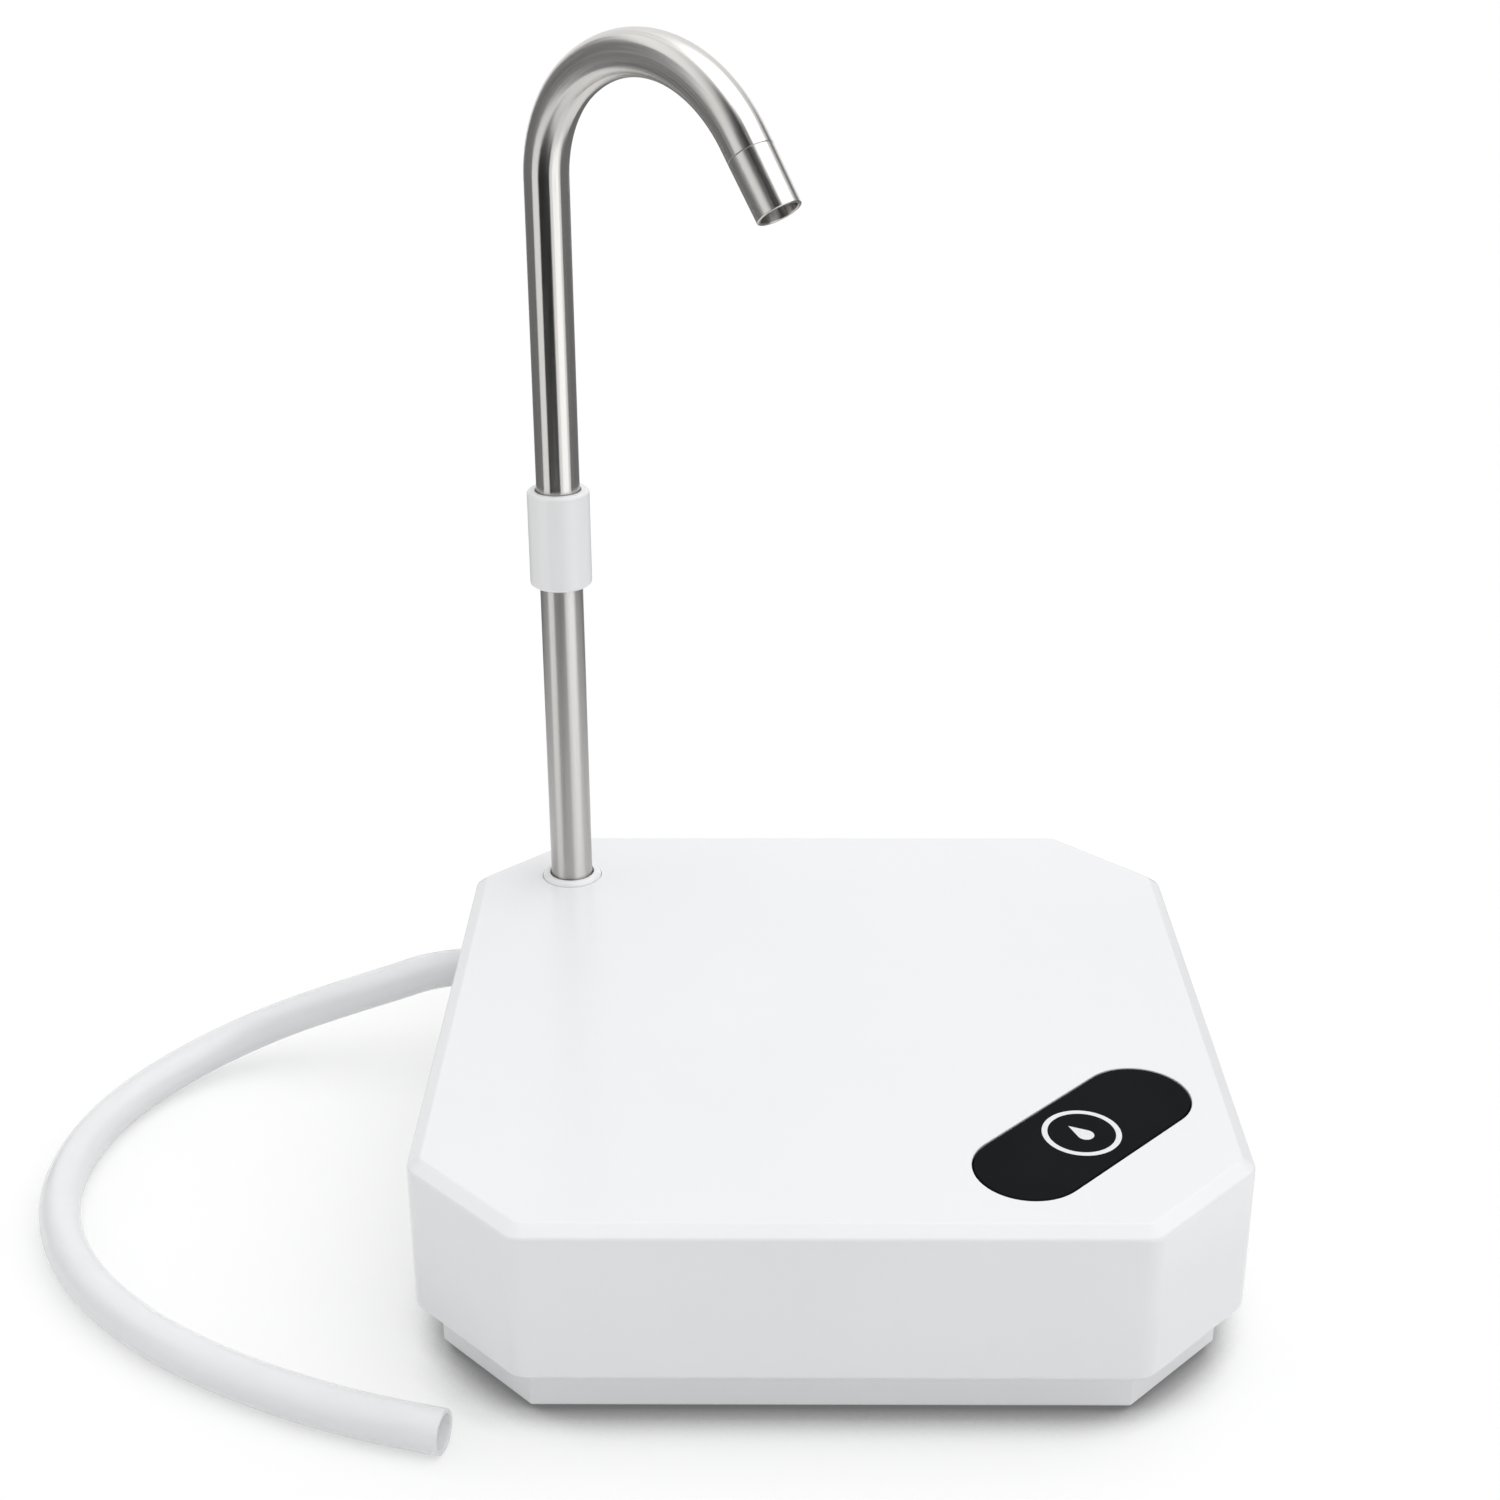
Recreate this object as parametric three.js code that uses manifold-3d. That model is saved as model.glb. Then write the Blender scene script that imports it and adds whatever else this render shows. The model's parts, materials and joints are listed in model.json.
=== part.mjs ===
// Electric water jug pump: a square casing with a gear pump, a battery and a key inside, and a
// stainless spout that swivels on it. Lengths are in millimetres and +Z is up. The origin is the
// centre of the casing's footprint, on the surface that the rubber feet stand on.
import * as THREE from "three";
import { mergeVertices } from "three/addons/utils/BufferGeometryUtils.js";
import Module from "manifold-3d";

const wasm = await Module();
wasm.setup();

// Clearances and overruns that all pieces share
const seatGap = 0.3;
const turnGap = 0.35;
const overrun = 3;
const weldDistance = 0.0005;
const facesOfRound = 20;
const facesOfSmallRound = 14;
const facesOfScrew = 8;
const facesOfRing = 6;
const arcSteps = 3;
const pillSteps = 12;
const bothSides = [-1, 1];

// Casing: a moulded top shell over a recessed base tray
const casingWidth = 168;
const cornerCut = 22.7;
const cornerRound = 8;
const leastRound = 0.4;
const footProud = 1.2;
const plinthHeight = 10.6;
const plinthInset = 5.1;
const plinthBevel = 0.9;
const shellHeight = 35.1;
const shellWall = 2.4;
const shellRoof = 2.4;
const topBevelInset = 2.85;
const topBevelHeight = 2;
const lipBevel = 1;
const trayWall = 2;
const trayFloor = 2.2;
const trayLedge = 2;
const footRadius = 7;
const footRecess = 1;
const footInsetX = 36;
const footInsetY = 18;

// Case screws, driven up through the tray's posts into the shell's bosses
const caseScrewInset = 20;
const rearScrewInset = 14;
const rearScrewFromFoot = 14;
const screwShank = 1.5;
const screwHead = 2.9;
const screwHeadHeight = 1.8;
const screwBite = 10;
const postRadius = 4.2;
const bossRadius = 3.9;
const postTop = 13.5;
const headSeat = 5.2;

// Spout: two lengths of stainless tube, joined by a moulded collar and standing in a socket
const spoutInsetX = 23.45;
const spoutInsetY = 22.6;
const tubeRadius = 5;
const tubeWall = 0.8;
const socketRadius = 8.3;
const flangeRadius = 7.15;
const flangeBevel = 0.8;
const flangeProud = 1;
const socketBottom = 10;
const socketFloor = 4;
const riserSeat = 24;
const ringSection = 0.75;
const ringGrooveHeight = 2.2;
const lowerRing = 31;
const upperRing = 38;
const collarRadius = 7.2;
const collarBottom = 123.2;
const collarLength = 23;
const collarRound = 0.9;
const collarRib = 1.2;
const collarRingSection = 0.5;
const collarRingHeight = 1.7;
const collarRingInset = 6;

// Gooseneck: up from the collar, round two arcs in one plane to a short straight, then the spout tip
const neckAngle = -Math.PI / 4;
const bendStart = 216.8;
const firstBendRadius = 27.7;
const firstBendAngle = (54 * Math.PI) / 180;
const secondBendRadius = 36.1;
const secondBendAngle = (89 * Math.PI) / 180;
const neckEndStraight = 3;
const tipLength = 13.3;
const tipTaper = 0.15;
const spigotLength = 3.4;
const spigotWall = 0.7;
const neckSteps = 25;

// Key: a pill-shaped cap, flush with the top, over a tact switch on its own small board
const keyInsetX = 32.8;
const keyInsetY = 33.5;
const keyAngle = Math.PI / 4;
const keyHalfStraight = 17.4;
const keyRadius = 10.95;
const keyThickness = 2.7;
const keyGap = 0.35;
const keyFlange = 1.2;
const keyFlangeHeight = 1.3;
const keyStemRadius = 2;
const keyTravel = 0.8;
const switchWidth = 6.2;
const switchHeight = 3.6;
const plungerRadius = 1.5;
const plungerProud = 1.5;
const plungerDepth = 1.4;
const keyBoardTop = 35;
const keyBoardWidth = 15;
const keyBoardEnd = 33.4;
const boardThickness = 1.6;
const keyPostRadius = 3;

// Hoses: 7 by 9 mm silicone hose for the suction hose, and 6 by 8 mm for the two hoses inside
const suctionRadius = 4.5;
const suctionBore = 3.5;
const hoseRadius = 4;
const hoseBore = 3;
const hoseFaces = 10;
const suctionSteps = 24;
const inletSteps = 20;
const inletReachShare = 0.66;
const outletSteps = 14;
const outletReachShare = 0.35;
const portInset = 32.7;
const portZ = 26.4;
const barbRadius = 2.5;
const portBarbRadius = 3;
const barbBore = 1.7;
const barbNeckShare = 0.86;
const barbLength = 7;
const portBarbLength = 5;
const portShoulder = 5.6;
const portShoulderThickness = 2;
const elbowInset = 5.2;
const elbowWidth = 7;
const elbowLeg = portShoulder;

// Gear pump and its motor, on one axis along X
const pumpFromSpoutX = 48.55;
const pumpFromSpoutY = 46.4;
const pumpZ = 20;
const gearModule = 0.8;
const gearTeeth = 12;
const gearWidth = 6;
const gearAddendumShare = 0.75;
const gearDedendumShare = 1.15;
const gearPressureAngle = (20 * Math.PI) / 180;
const gearSlack = 0.08;
const gearBacklash = 0.34;
const headHalfWidth = 12;
const headRound = 6;
const headLength = 18;
const headMargin = 4.6;
const headRestShares = [0.2, 0.8];
const headScrewShare = 0.7;
const chamberWall = 4.4;
const chamberGap = 0.35;
const coverThickness = 3.6;
const shaftRadius = 1.5;
const sealRadius = 3.7;
const sealLength = 2.4;
const coverScrewShank = 1.1;
const coverScrewHead = 2.1;
const coverScrewLength = 9;
const motorRadius = 13.8;
const motorLength = 33;
const motorWall = 1;
const endCapLength = 2.7;
const rotorRadius = 9.2;
const rotorLength = 20;
const clampThickness = 1.4;
const clampWidth = 8;
const clampFoot = 5.2;
const clampPostRadius = 3.4;
const clampScrewShank = 1.2;
const clampScrewHead = 2.4;
const clampScrewBite = 8;
const saddleHalfWidth = 10;
const saddleThickness = 3;
const saddleTop = 12;

// Battery cell in its open holder
const batteryX = -4;
const cellRadius = 9.2;
const cellLength = 65;
const cellNub = 2.9;
const cellNubLength = 1.2;
const holderWall = 1.8;
const holderHeight = 14.5;
const contactThickness = 0.6;
const contactSpring = 4.2;
const contactHalfWidth = 5;

// Main board with the charging socket at its rear edge
const boardWidth = 37;
const boardDepth = 38;
const boardSideGap = 2.8;
const boardRearGap = 6.6;
const boardTop = 17.2;
const standoffRadius = 2.8;
const standoffInset = 4;
const boardScrewShank = 1;
const boardScrewHead = 2;
const boardScrewHeadHeight = 1.3;
const boardScrewBite = 5;
const usbInset = 16;
const usbHalfWidth = 4.5;
const usbHeight = 3.2;
const usbRearGap = 0.3;
const usbDepth = 7.4;
const usbWall = 0.45;
const usbTongue = 0.6;
const usbCutHalfWidth = 6.3;
const usbCutHalfHeight = 3.6;
const usbCutRound = 1.6;
const chipWidth = 7;
const chipHeight = 1.2;
const chipShares = [0.5, 0.42];
const coilWidth = 8;
const coilHeight = 4.2;
const coilShares = [0.24, 0.52];
const plugWidth = 7;
const plugDepth = 5;
const plugHeight = 5.4;
const motorPlugShares = [0.42, 0.1];
const batteryPlugShares = [0.72, 0.1];
const keyPlugShares = [0.88, 0.28];
const wireRadius = 0.7;
const wireFaces = 6;
const wireSteps = 22;
const wireLift = 6;
const wireLevel = 1.77;
const wireRiseShare = 0.445;
const wireDropShare = 0.25;

// Heights that follow from the sizes above
const lipZ = footProud + plinthHeight;
const topZ = lipZ + shellHeight;
const roofZ = topZ - shellRoof;
const floorZ = footProud + trayFloor;
const halfWidth = casingWidth / 2;
const innerFace = halfWidth - shellWall;
const trayFace = halfWidth - plinthInset - trayWall;

// Places measured from the casing's walls and corners
const footX = halfWidth - footInsetX;
const footY = halfWidth - footInsetY;
const screwReach = halfWidth - caseScrewInset;
const rearScrewX = rearScrewFromFoot - footX;
const rearScrewY = halfWidth - rearScrewInset;
const spoutX = spoutInsetX - halfWidth;
const spoutY = halfWidth - spoutInsetY;
const keyX = halfWidth - keyInsetX;
const keyY = keyInsetY - halfWidth;
const portY = halfWidth - portInset;
const elbowX = elbowInset - innerFace;
const pumpX = spoutX + pumpFromSpoutX;
const pumpY = spoutY - pumpFromSpoutY;
const boardRight = screwReach - postRadius - boardSideGap;
const boardLeft = boardRight - boardWidth;
const boardRear = innerFace - boardRearGap;
const boardFront = boardRear - boardDepth;
const usbX = boardRight - usbInset;

// The pump head is as tall as both gears, the chamber round them and a margin
const pitchRadius = (gearModule * gearTeeth) / 2;
const gearDistance = 2 * pitchRadius + gearSlack;
const tipRadius = pitchRadius + gearModule * gearAddendumShare;
const rootRadius = pitchRadius - gearModule * gearDedendumShare;
const chamberRadius = tipRadius + chamberGap;
const headLow = pumpZ - chamberRadius - headMargin;
const headHigh = pumpZ + gearDistance + chamberRadius + headMargin;
const headMiddle = (headLow + headHigh) / 2;
const portMiddle = pumpZ + gearDistance / 2;

// The socket's side port sits just above its floor
const socketWall = socketRadius - tubeRadius;
const socketPortZ = socketBottom + socketFloor + barbRadius + seatGap;

// The holder is as long as the cell, both contacts and its end walls
const holderHalfLength = cellLength / 2 + contactSpring + 2 * contactThickness + holderWall;

function toSolid(geometry) {
  const bare = geometry.clone();
  bare.deleteAttribute("normal");
  bare.deleteAttribute("uv");
  const merged = mergeVertices(bare, weldDistance);
  const mesh = new wasm.Mesh({
    numProp: 3,
    vertProperties: new Float32Array(merged.attributes.position.array),
    triVerts: new Uint32Array(merged.index.array),
  });
  return new wasm.Manifold(mesh);
}

function toGeometry(body) {
  const mesh = body.getMesh();
  const geometry = new THREE.BufferGeometry();
  geometry.setAttribute("position", new THREE.BufferAttribute(mesh.vertProperties, 3));
  geometry.setIndex(new THREE.BufferAttribute(mesh.triVerts, 1));
  geometry.computeVertexNormals();
  return geometry;
}

function join(first, ...others) {
  return toGeometry(others.reduce((sum, next) => sum.add(toSolid(next)), toSolid(first)));
}

function cut(base, ...tools) {
  return toGeometry(tools.reduce((left, tool) => left.subtract(toSolid(tool)), toSolid(base)));
}

// A solid of revolution about Z from [radius, height] pairs that run up the outside.
function turned(profile, faces = facesOfRound) {
  const points = profile.map(([radius, height]) => new THREE.Vector2(radius, height));
  return new THREE.LatheGeometry(points, faces).rotateX(Math.PI / 2);
}

function rod(radius, low, high, faces = facesOfRound) {
  const profile = [[0, low], [radius, low], [radius, high], [0, high]];
  return turned(profile, faces);
}

function sleeve(outer, inner, low, high, faces = facesOfRound) {
  const profile = [[inner, low], [outer, low], [outer, high], [inner, high], [inner, low]];
  return turned(profile, faces);
}

function block(x, y, z) {
  const geometry = new THREE.BoxGeometry(x[1] - x[0], y[1] - y[0], z[1] - z[0]);
  return geometry.translate((x[0] + x[1]) / 2, (y[0] + y[1]) / 2, (z[0] + z[1]) / 2);
}

function slab(outline, low, high) {
  const geometry = new THREE.ExtrudeGeometry(new THREE.Shape(outline), {
    depth: high - low,
    bevelEnabled: false,
  });
  return geometry.translate(0, 0, low);
}

// A solid through a stack of outlines that have the same number of points, each at its height.
function lofted(levels) {
  const count = levels[0].outline.length;
  const corners = levels.flatMap(({ outline, z }) => outline.flatMap((p) => [p.x, p.y, z]));
  const faces = [];
  for (let level = 0; level + 1 < levels.length; level++) {
    for (let i = 0; i < count; i++) {
      const a = level * count + i;
      const b = level * count + ((i + 1) % count);
      faces.push(a, b, b + count, a, b + count, a + count);
    }
  }
  const last = (levels.length - 1) * count;
  for (const [a, b, c] of THREE.ShapeUtils.triangulateShape(levels[0].outline, [])) {
    faces.push(c, b, a, a + last, b + last, c + last);
  }
  const geometry = new THREE.BufferGeometry();
  geometry.setAttribute("position", new THREE.Float32BufferAttribute(corners, 3));
  return geometry.setIndex(faces);
}

// The outline of a convex polygon, anticlockwise, with its corners rounded.
function roundedOutline(corners, radius, steps = arcSteps) {
  const points = [];
  corners.forEach((corner, i) => {
    const before = corners[(i + corners.length - 1) % corners.length].clone().sub(corner).normalize();
    const after = corners[(i + 1) % corners.length].clone().sub(corner).normalize();
    const half = Math.acos(before.dot(after)) / 2;
    const centre = before.clone().add(after).normalize().multiplyScalar(radius / Math.sin(half));
    const start = before.clone().multiplyScalar(radius / Math.tan(half)).sub(centre);
    centre.add(corner);
    for (let step = 0; step <= steps; step++) {
      const turn = ((Math.PI - 2 * half) * step) / steps;
      points.push(start.clone().rotateAround(new THREE.Vector2(), turn).add(centre));
    }
  });
  return points;
}

function casingOutline(inset) {
  const side = halfWidth - inset;
  const other = casingWidth - cornerCut - inset * Math.SQRT2 - side;
  const corners = [];
  for (let quarter = 0; quarter < 4; quarter++) {
    for (const [x, y] of [[side, -other], [side, other]]) {
      const corner = new THREE.Vector2(x, y);
      corners.push(corner.rotateAround(new THREE.Vector2(), (quarter * Math.PI) / 2));
    }
  }
  return roundedOutline(corners, Math.max(cornerRound - inset, leastRound));
}

function rectangle(halfX, halfY, radius) {
  const corners = [[-halfX, -halfY], [halfX, -halfY], [halfX, halfY], [-halfX, halfY]];
  return roundedOutline(corners.map(([x, y]) => new THREE.Vector2(x, y)), radius);
}

function pill(halfStraight, radius, steps = pillSteps) {
  const points = [];
  for (const side of bothSides) {
    for (let step = 0; step <= steps; step++) {
      const turn = Math.PI * (step / steps - side / 2);
      points.push(new THREE.Vector2(
        side * halfStraight + radius * Math.cos(turn),
        radius * Math.sin(turn),
      ));
    }
  }
  return points;
}

// A tube, or a rod where the bore is 0, along a curve.
function alongCurve(curve, radius, bore, faces, steps) {
  const shape = new THREE.Shape();
  shape.absarc(0, 0, radius, 0, 2 * Math.PI);
  if (bore > 0) {
    const hole = new THREE.Path();
    hole.absarc(0, 0, bore, 0, 2 * Math.PI);
    shape.holes.push(hole);
  }
  return new THREE.ExtrudeGeometry(shape, {
    extrudePath: curve,
    steps,
    curveSegments: faces / 2,
    bevelEnabled: false,
  });
}

// A hose path that leaves one barb straight, bends over to the other and meets it straight.
function hosePath(start, leaving, end, arriving, straight, reach) {
  const from = start.clone().addScaledVector(leaving, straight);
  const to = end.clone().addScaledVector(arriving, straight);
  const path = new THREE.CurvePath();
  path.add(new THREE.LineCurve3(start, from));
  path.add(new THREE.CubicBezierCurve3(
    from,
    from.clone().addScaledVector(leaving, reach),
    to.clone().addScaledVector(arriving, reach),
    to,
  ));
  path.add(new THREE.LineCurve3(to, end));
  return path;
}

// A barbed spigot up from a low height, with two ridges of that radius.
function barb(radius, low, length) {
  const neck = radius * barbNeckShare;
  const ridge = length / 3;
  return turned([
    [0, low],
    [neck, low],
    [neck, low + ridge],
    [radius, low + ridge],
    [neck, low + 2 * ridge],
    [radius, low + 2 * ridge],
    [neck, low + length],
    [0, low + length],
  ], facesOfSmallRound);
}

function screw(shank, head, headHeight, length, seat) {
  return turned([
    [0, seat - length],
    [shank, seat - length],
    [shank, seat],
    [head, seat],
    [head, seat + headHeight],
    [0, seat + headHeight],
  ], facesOfScrew);
}

const plastics = {
  white: [0xf4f5f6, 0.35],
  black: [0x1f2326, 0.5],
  grey: [0x8b9094, 0.6],
  amber: [0xb98a4a, 0.5],
  red: [0xb3261e, 0.5],
  green: [0x1f5a3a, 0.6],
  rubber: [0x2a2a2c, 0.9],
  silicone: [0xdfe6e8, 0.3],
};
const metals = {
  stainless: [0xb9b3aa, 0.25],
  steel: [0x9a9ea3, 0.35],
  brass: [0xb98d3e, 0.35],
};

function piece(name, geometry, finish) {
  const metalness = finish in metals ? 1 : 0;
  const [color, roughness] = metalness ? metals[finish] : plastics[finish];
  const material = new THREE.MeshStandardMaterial({ color, roughness, metalness });
  const mesh = new THREE.Mesh(geometry, material);
  mesh.name = name;
  return mesh;
}

const pump = new THREE.Group();

// Places of the screws and feet
const caseScrewPlaces = [
  [-screwReach, -screwReach],
  [screwReach, -screwReach],
  [screwReach, screwReach],
  [rearScrewX, rearScrewY],
];
const footPlaces = [[-footX, -footY], [footX, -footY], [footX, footY], [-footX, footY]];
const boardMiddle = (boardFront + boardRear) / 2;
const standoffPlaces = [
  [boardLeft + standoffInset, boardFront + standoffInset],
  [boardRight - standoffInset, boardMiddle],
  [boardLeft + standoffInset, boardRear - standoffInset],
];
const boardScrewPlaces = standoffPlaces.slice(0, 2);
const clampReach = motorRadius + turnGap + clampFoot / 2 + clampThickness;
const clampMiddle = pumpX + motorLength / 2;

// The battery lies midway between the clamp's front post and the tray's front wall
const batteryY = (pumpY - clampReach - clampPostRadius - trayFace) / 2;

// Top shell: the outer skin, hollow below, with openings for the spout, key, hose and charging plug
function makeTopShell() {
  const outer = lofted([
    { outline: casingOutline(lipBevel), z: lipZ },
    { outline: casingOutline(0), z: lipZ + lipBevel },
    { outline: casingOutline(0), z: topZ - topBevelHeight },
    { outline: casingOutline(topBevelInset), z: topZ },
  ]);
  const hollow = slab(casingOutline(shellWall), lipZ - overrun, roofZ);
  const bosses = caseScrewPlaces.map(([x, y]) =>
    rod(bossRadius, postTop + seatGap, roofZ + shellRoof / 2, facesOfSmallRound).translate(x, y, 0));
  const pilots = caseScrewPlaces.map(([x, y]) =>
    rod(screwShank + turnGap, postTop - overrun, postTop + screwBite + seatGap, facesOfScrew)
      .translate(x, y, 0));
  const keyPosts = bothSides.map((side) =>
    rod(keyPostRadius, keyBoardTop + seatGap, roofZ + shellRoof / 2, facesOfSmallRound)
      .translate(side * keyBoardEnd, 0, 0)
      .rotateZ(keyAngle)
      .translate(keyX, keyY, 0));
  const keyPilots = bothSides.map((side) =>
    rod(boardScrewShank + turnGap, keyBoardTop - overrun, keyBoardTop + boardScrewBite, facesOfScrew)
      .translate(side * keyBoardEnd, 0, 0)
      .rotateZ(keyAngle)
      .translate(keyX, keyY, 0));
  const spoutHole = rod(flangeRadius + turnGap, roofZ - overrun, topZ + overrun)
    .translate(spoutX, spoutY, 0);
  const keyHole = slab(pill(keyHalfStraight, keyRadius + keyGap), roofZ - overrun, topZ + overrun)
    .rotateZ(keyAngle)
    .translate(keyX, keyY, 0);
  const portHole = rod(portBarbRadius + turnGap, 0, shellWall + 2 * overrun, facesOfSmallRound)
    .rotateY(-Math.PI / 2)
    .translate(-innerFace + overrun, portY, portZ);
  const plugOutline = rectangle(usbCutHalfWidth, usbCutHalfHeight, usbCutRound);
  const plugHole = slab(plugOutline, 0, shellWall + 2 * overrun)
    .rotateX(-Math.PI / 2)
    .translate(usbX, innerFace - overrun, boardTop + seatGap + usbHeight / 2);
  return cut(
    join(cut(outer, hollow), ...bosses, ...keyPosts),
    ...pilots, ...keyPilots, spoutHole, keyHole, portHole, plugHole,
  );
}

// Base tray: the recessed plinth, with the posts and saddles that carry the parts inside
function makeBasePlate() {
  const outer = lofted([
    { outline: casingOutline(plinthInset + plinthBevel), z: footProud },
    { outline: casingOutline(plinthInset), z: footProud + plinthBevel },
    { outline: casingOutline(plinthInset), z: lipZ + seatGap },
  ]);
  const ledge = slab(casingOutline(shellWall + seatGap), lipZ + seatGap, lipZ + seatGap + trayLedge);
  const hollow = slab(
    casingOutline(plinthInset + trayWall), floorZ, lipZ + seatGap + trayLedge + overrun,
  );
  const sunk = floorZ - trayFloor / 2;
  const posts = caseScrewPlaces.map(([x, y]) =>
    rod(postRadius, sunk, postTop, facesOfSmallRound).translate(x, y, 0));
  const standoffs = standoffPlaces.map(([x, y]) =>
    rod(standoffRadius, sunk, boardTop - boardThickness - seatGap, facesOfSmallRound).translate(x, y, 0));
  const clampPosts = bothSides.map((side) =>
    rod(clampPostRadius, sunk, pumpZ - seatGap, facesOfSmallRound)
      .translate(clampMiddle, pumpY + side * clampReach, 0));
  const socketStand = rod(socketRadius, sunk, socketBottom - seatGap, facesOfSmallRound)
    .translate(spoutX, spoutY, 0);
  const motorHole = rod(motorRadius + seatGap, 0, motorLength + 2 * overrun)
    .rotateY(Math.PI / 2)
    .translate(pumpX - overrun, pumpY, pumpZ);
  const saddles = [1, 3].map((quarter) => {
    const middle = pumpX + (motorLength * quarter) / 4;
    return cut(
      block(
        [middle - saddleThickness / 2, middle + saddleThickness / 2],
        [pumpY - saddleHalfWidth, pumpY + saddleHalfWidth],
        [sunk, saddleTop],
      ),
      motorHole,
    );
  });
  const headRest = block(
    headRestShares.map((share) => pumpX - seatGap - headLength * (1 - share)),
    [pumpY - saddleHalfWidth / 2, pumpY + saddleHalfWidth / 2],
    [sunk, headLow - seatGap],
  );
  const holderStops = bothSides.map((side) => {
    const face = batteryX + side * (holderHalfLength + seatGap);
    return block(
      [Math.min(face, face + side * trayWall), Math.max(face, face + side * trayWall)],
      [batteryY - cellRadius / 2, batteryY + cellRadius / 2],
      [sunk, floorZ + holderWall + seatGap + cellRadius / 2],
    );
  });
  const shankHoles = caseScrewPlaces.map(([x, y]) =>
    rod(screwShank + turnGap, footProud - overrun, postTop + overrun, facesOfScrew).translate(x, y, 0));
  const headHoles = caseScrewPlaces.map(([x, y]) =>
    rod(screwHead + turnGap, footProud - overrun, headSeat, facesOfScrew).translate(x, y, 0));
  const standoffHoles = boardScrewPlaces.map(([x, y]) =>
    rod(
      boardScrewShank + turnGap, boardTop - boardThickness - boardScrewBite - seatGap,
      boardTop + overrun, facesOfScrew,
    ).translate(x, y, 0));
  const clampHoles = bothSides.map((side) =>
    rod(clampScrewShank + turnGap, pumpZ - clampScrewBite - seatGap, pumpZ + overrun, facesOfScrew)
      .translate(clampMiddle, pumpY + side * clampReach, 0));
  const footHoles = footPlaces.map(([x, y]) =>
    rod(footRadius + turnGap, footProud - overrun, footProud + footRecess).translate(x, y, 0));
  return cut(
    join(
      cut(join(outer, ledge), hollow),
      ...posts, ...standoffs, ...clampPosts, ...saddles, ...holderStops, socketStand, headRest,
    ),
    ...shankHoles, ...headHoles, ...standoffHoles, ...clampHoles, ...footHoles,
  );
}

const casing = new THREE.Group();
casing.add(piece("top_shell", makeTopShell(), "white"));
casing.add(piece("base_plate", makeBasePlate(), "white"));
footPlaces.forEach(([x, y], i) => {
  const foot = piece(
    `foot_${i + 1}`,
    turned([
      [0, 0],
      [footRadius - footProud / 3, 0],
      [footRadius, footProud / 3],
      [footRadius, footProud + footRecess - seatGap],
      [0, footProud + footRecess - seatGap],
    ]),
    "rubber",
  );
  foot.position.set(x, y, 0);
  casing.add(foot);
});
caseScrewPlaces.forEach(([x, y], i) => {
  const shape = screw(
    screwShank, screwHead, screwHeadHeight, postTop - headSeat + screwBite, -headSeat + seatGap,
  );
  const caseScrew = piece(`case_screw_${i + 1}`, shape.rotateX(Math.PI), "steel");
  caseScrew.position.set(x, y, 0);
  casing.add(caseScrew);
});
pump.add(casing);

// Spout socket: a flanged cup that hangs in the roof and stands on the tray
function makeSocket() {
  const top = topZ + flangeProud;
  const boreRadius = tubeRadius + turnGap;
  const grooveRadius = boreRadius + 2 * ringSection + turnGap;
  const groove = (middle) => [
    [boreRadius, middle - ringGrooveHeight / 2],
    [grooveRadius, middle - ringGrooveHeight / 2],
    [grooveRadius, middle + ringGrooveHeight / 2],
    [boreRadius, middle + ringGrooveHeight / 2],
  ];
  const channel = tubeRadius - tubeWall - turnGap;
  const cup = turned([
    [0, socketBottom],
    [socketRadius, socketBottom],
    [socketRadius, roofZ - seatGap],
    [flangeRadius, roofZ - seatGap],
    [flangeRadius, top - flangeBevel],
    [flangeRadius - flangeBevel, top],
    [boreRadius, top],
    ...groove(upperRing).reverse(),
    ...groove(lowerRing).reverse(),
    [boreRadius, riserSeat],
    [channel, riserSeat],
    [channel, socketBottom + socketFloor],
    [0, socketBottom + socketFloor],
  ]);
  const sideways = (geometry) => geometry.rotateY(Math.PI / 2).translate(0, 0, socketPortZ);
  const spigot = sideways(
    barb(barbRadius, socketRadius - socketWall / 2, barbLength + socketWall / 2),
  );
  const passage = sideways(rod(barbBore, 0, socketRadius + barbLength + overrun, facesOfSmallRound));
  return cut(join(cup, spigot), passage);
}
const spout = new THREE.Group();
spout.position.set(spoutX, spoutY, 0);
spout.add(piece("spout_socket", makeSocket(), "white"));

function oRing(middle, section) {
  const centre = tubeRadius + turnGap + section;
  const profile = [];
  for (let i = 0; i <= facesOfRing; i++) {
    const turn = (2 * Math.PI * (i % facesOfRing)) / facesOfRing;
    profile.push([centre + section * Math.cos(turn), middle + section * Math.sin(turn)]);
  }
  return turned(profile, facesOfSmallRound);
}
spout.add(piece("socket_ring_lower", oRing(lowerRing, ringSection), "rubber"));
spout.add(piece("socket_ring_upper", oRing(upperRing, ringSection), "rubber"));

// Riser tube, from the socket's seat to the rib inside the collar
const collarMiddle = collarBottom + collarLength / 2;
const riserTop = collarMiddle - collarRib / 2 - seatGap;
spout.add(piece(
  "riser_tube",
  sleeve(tubeRadius, tubeRadius - tubeWall, riserSeat + seatGap, riserTop),
  "stainless",
));

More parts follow.
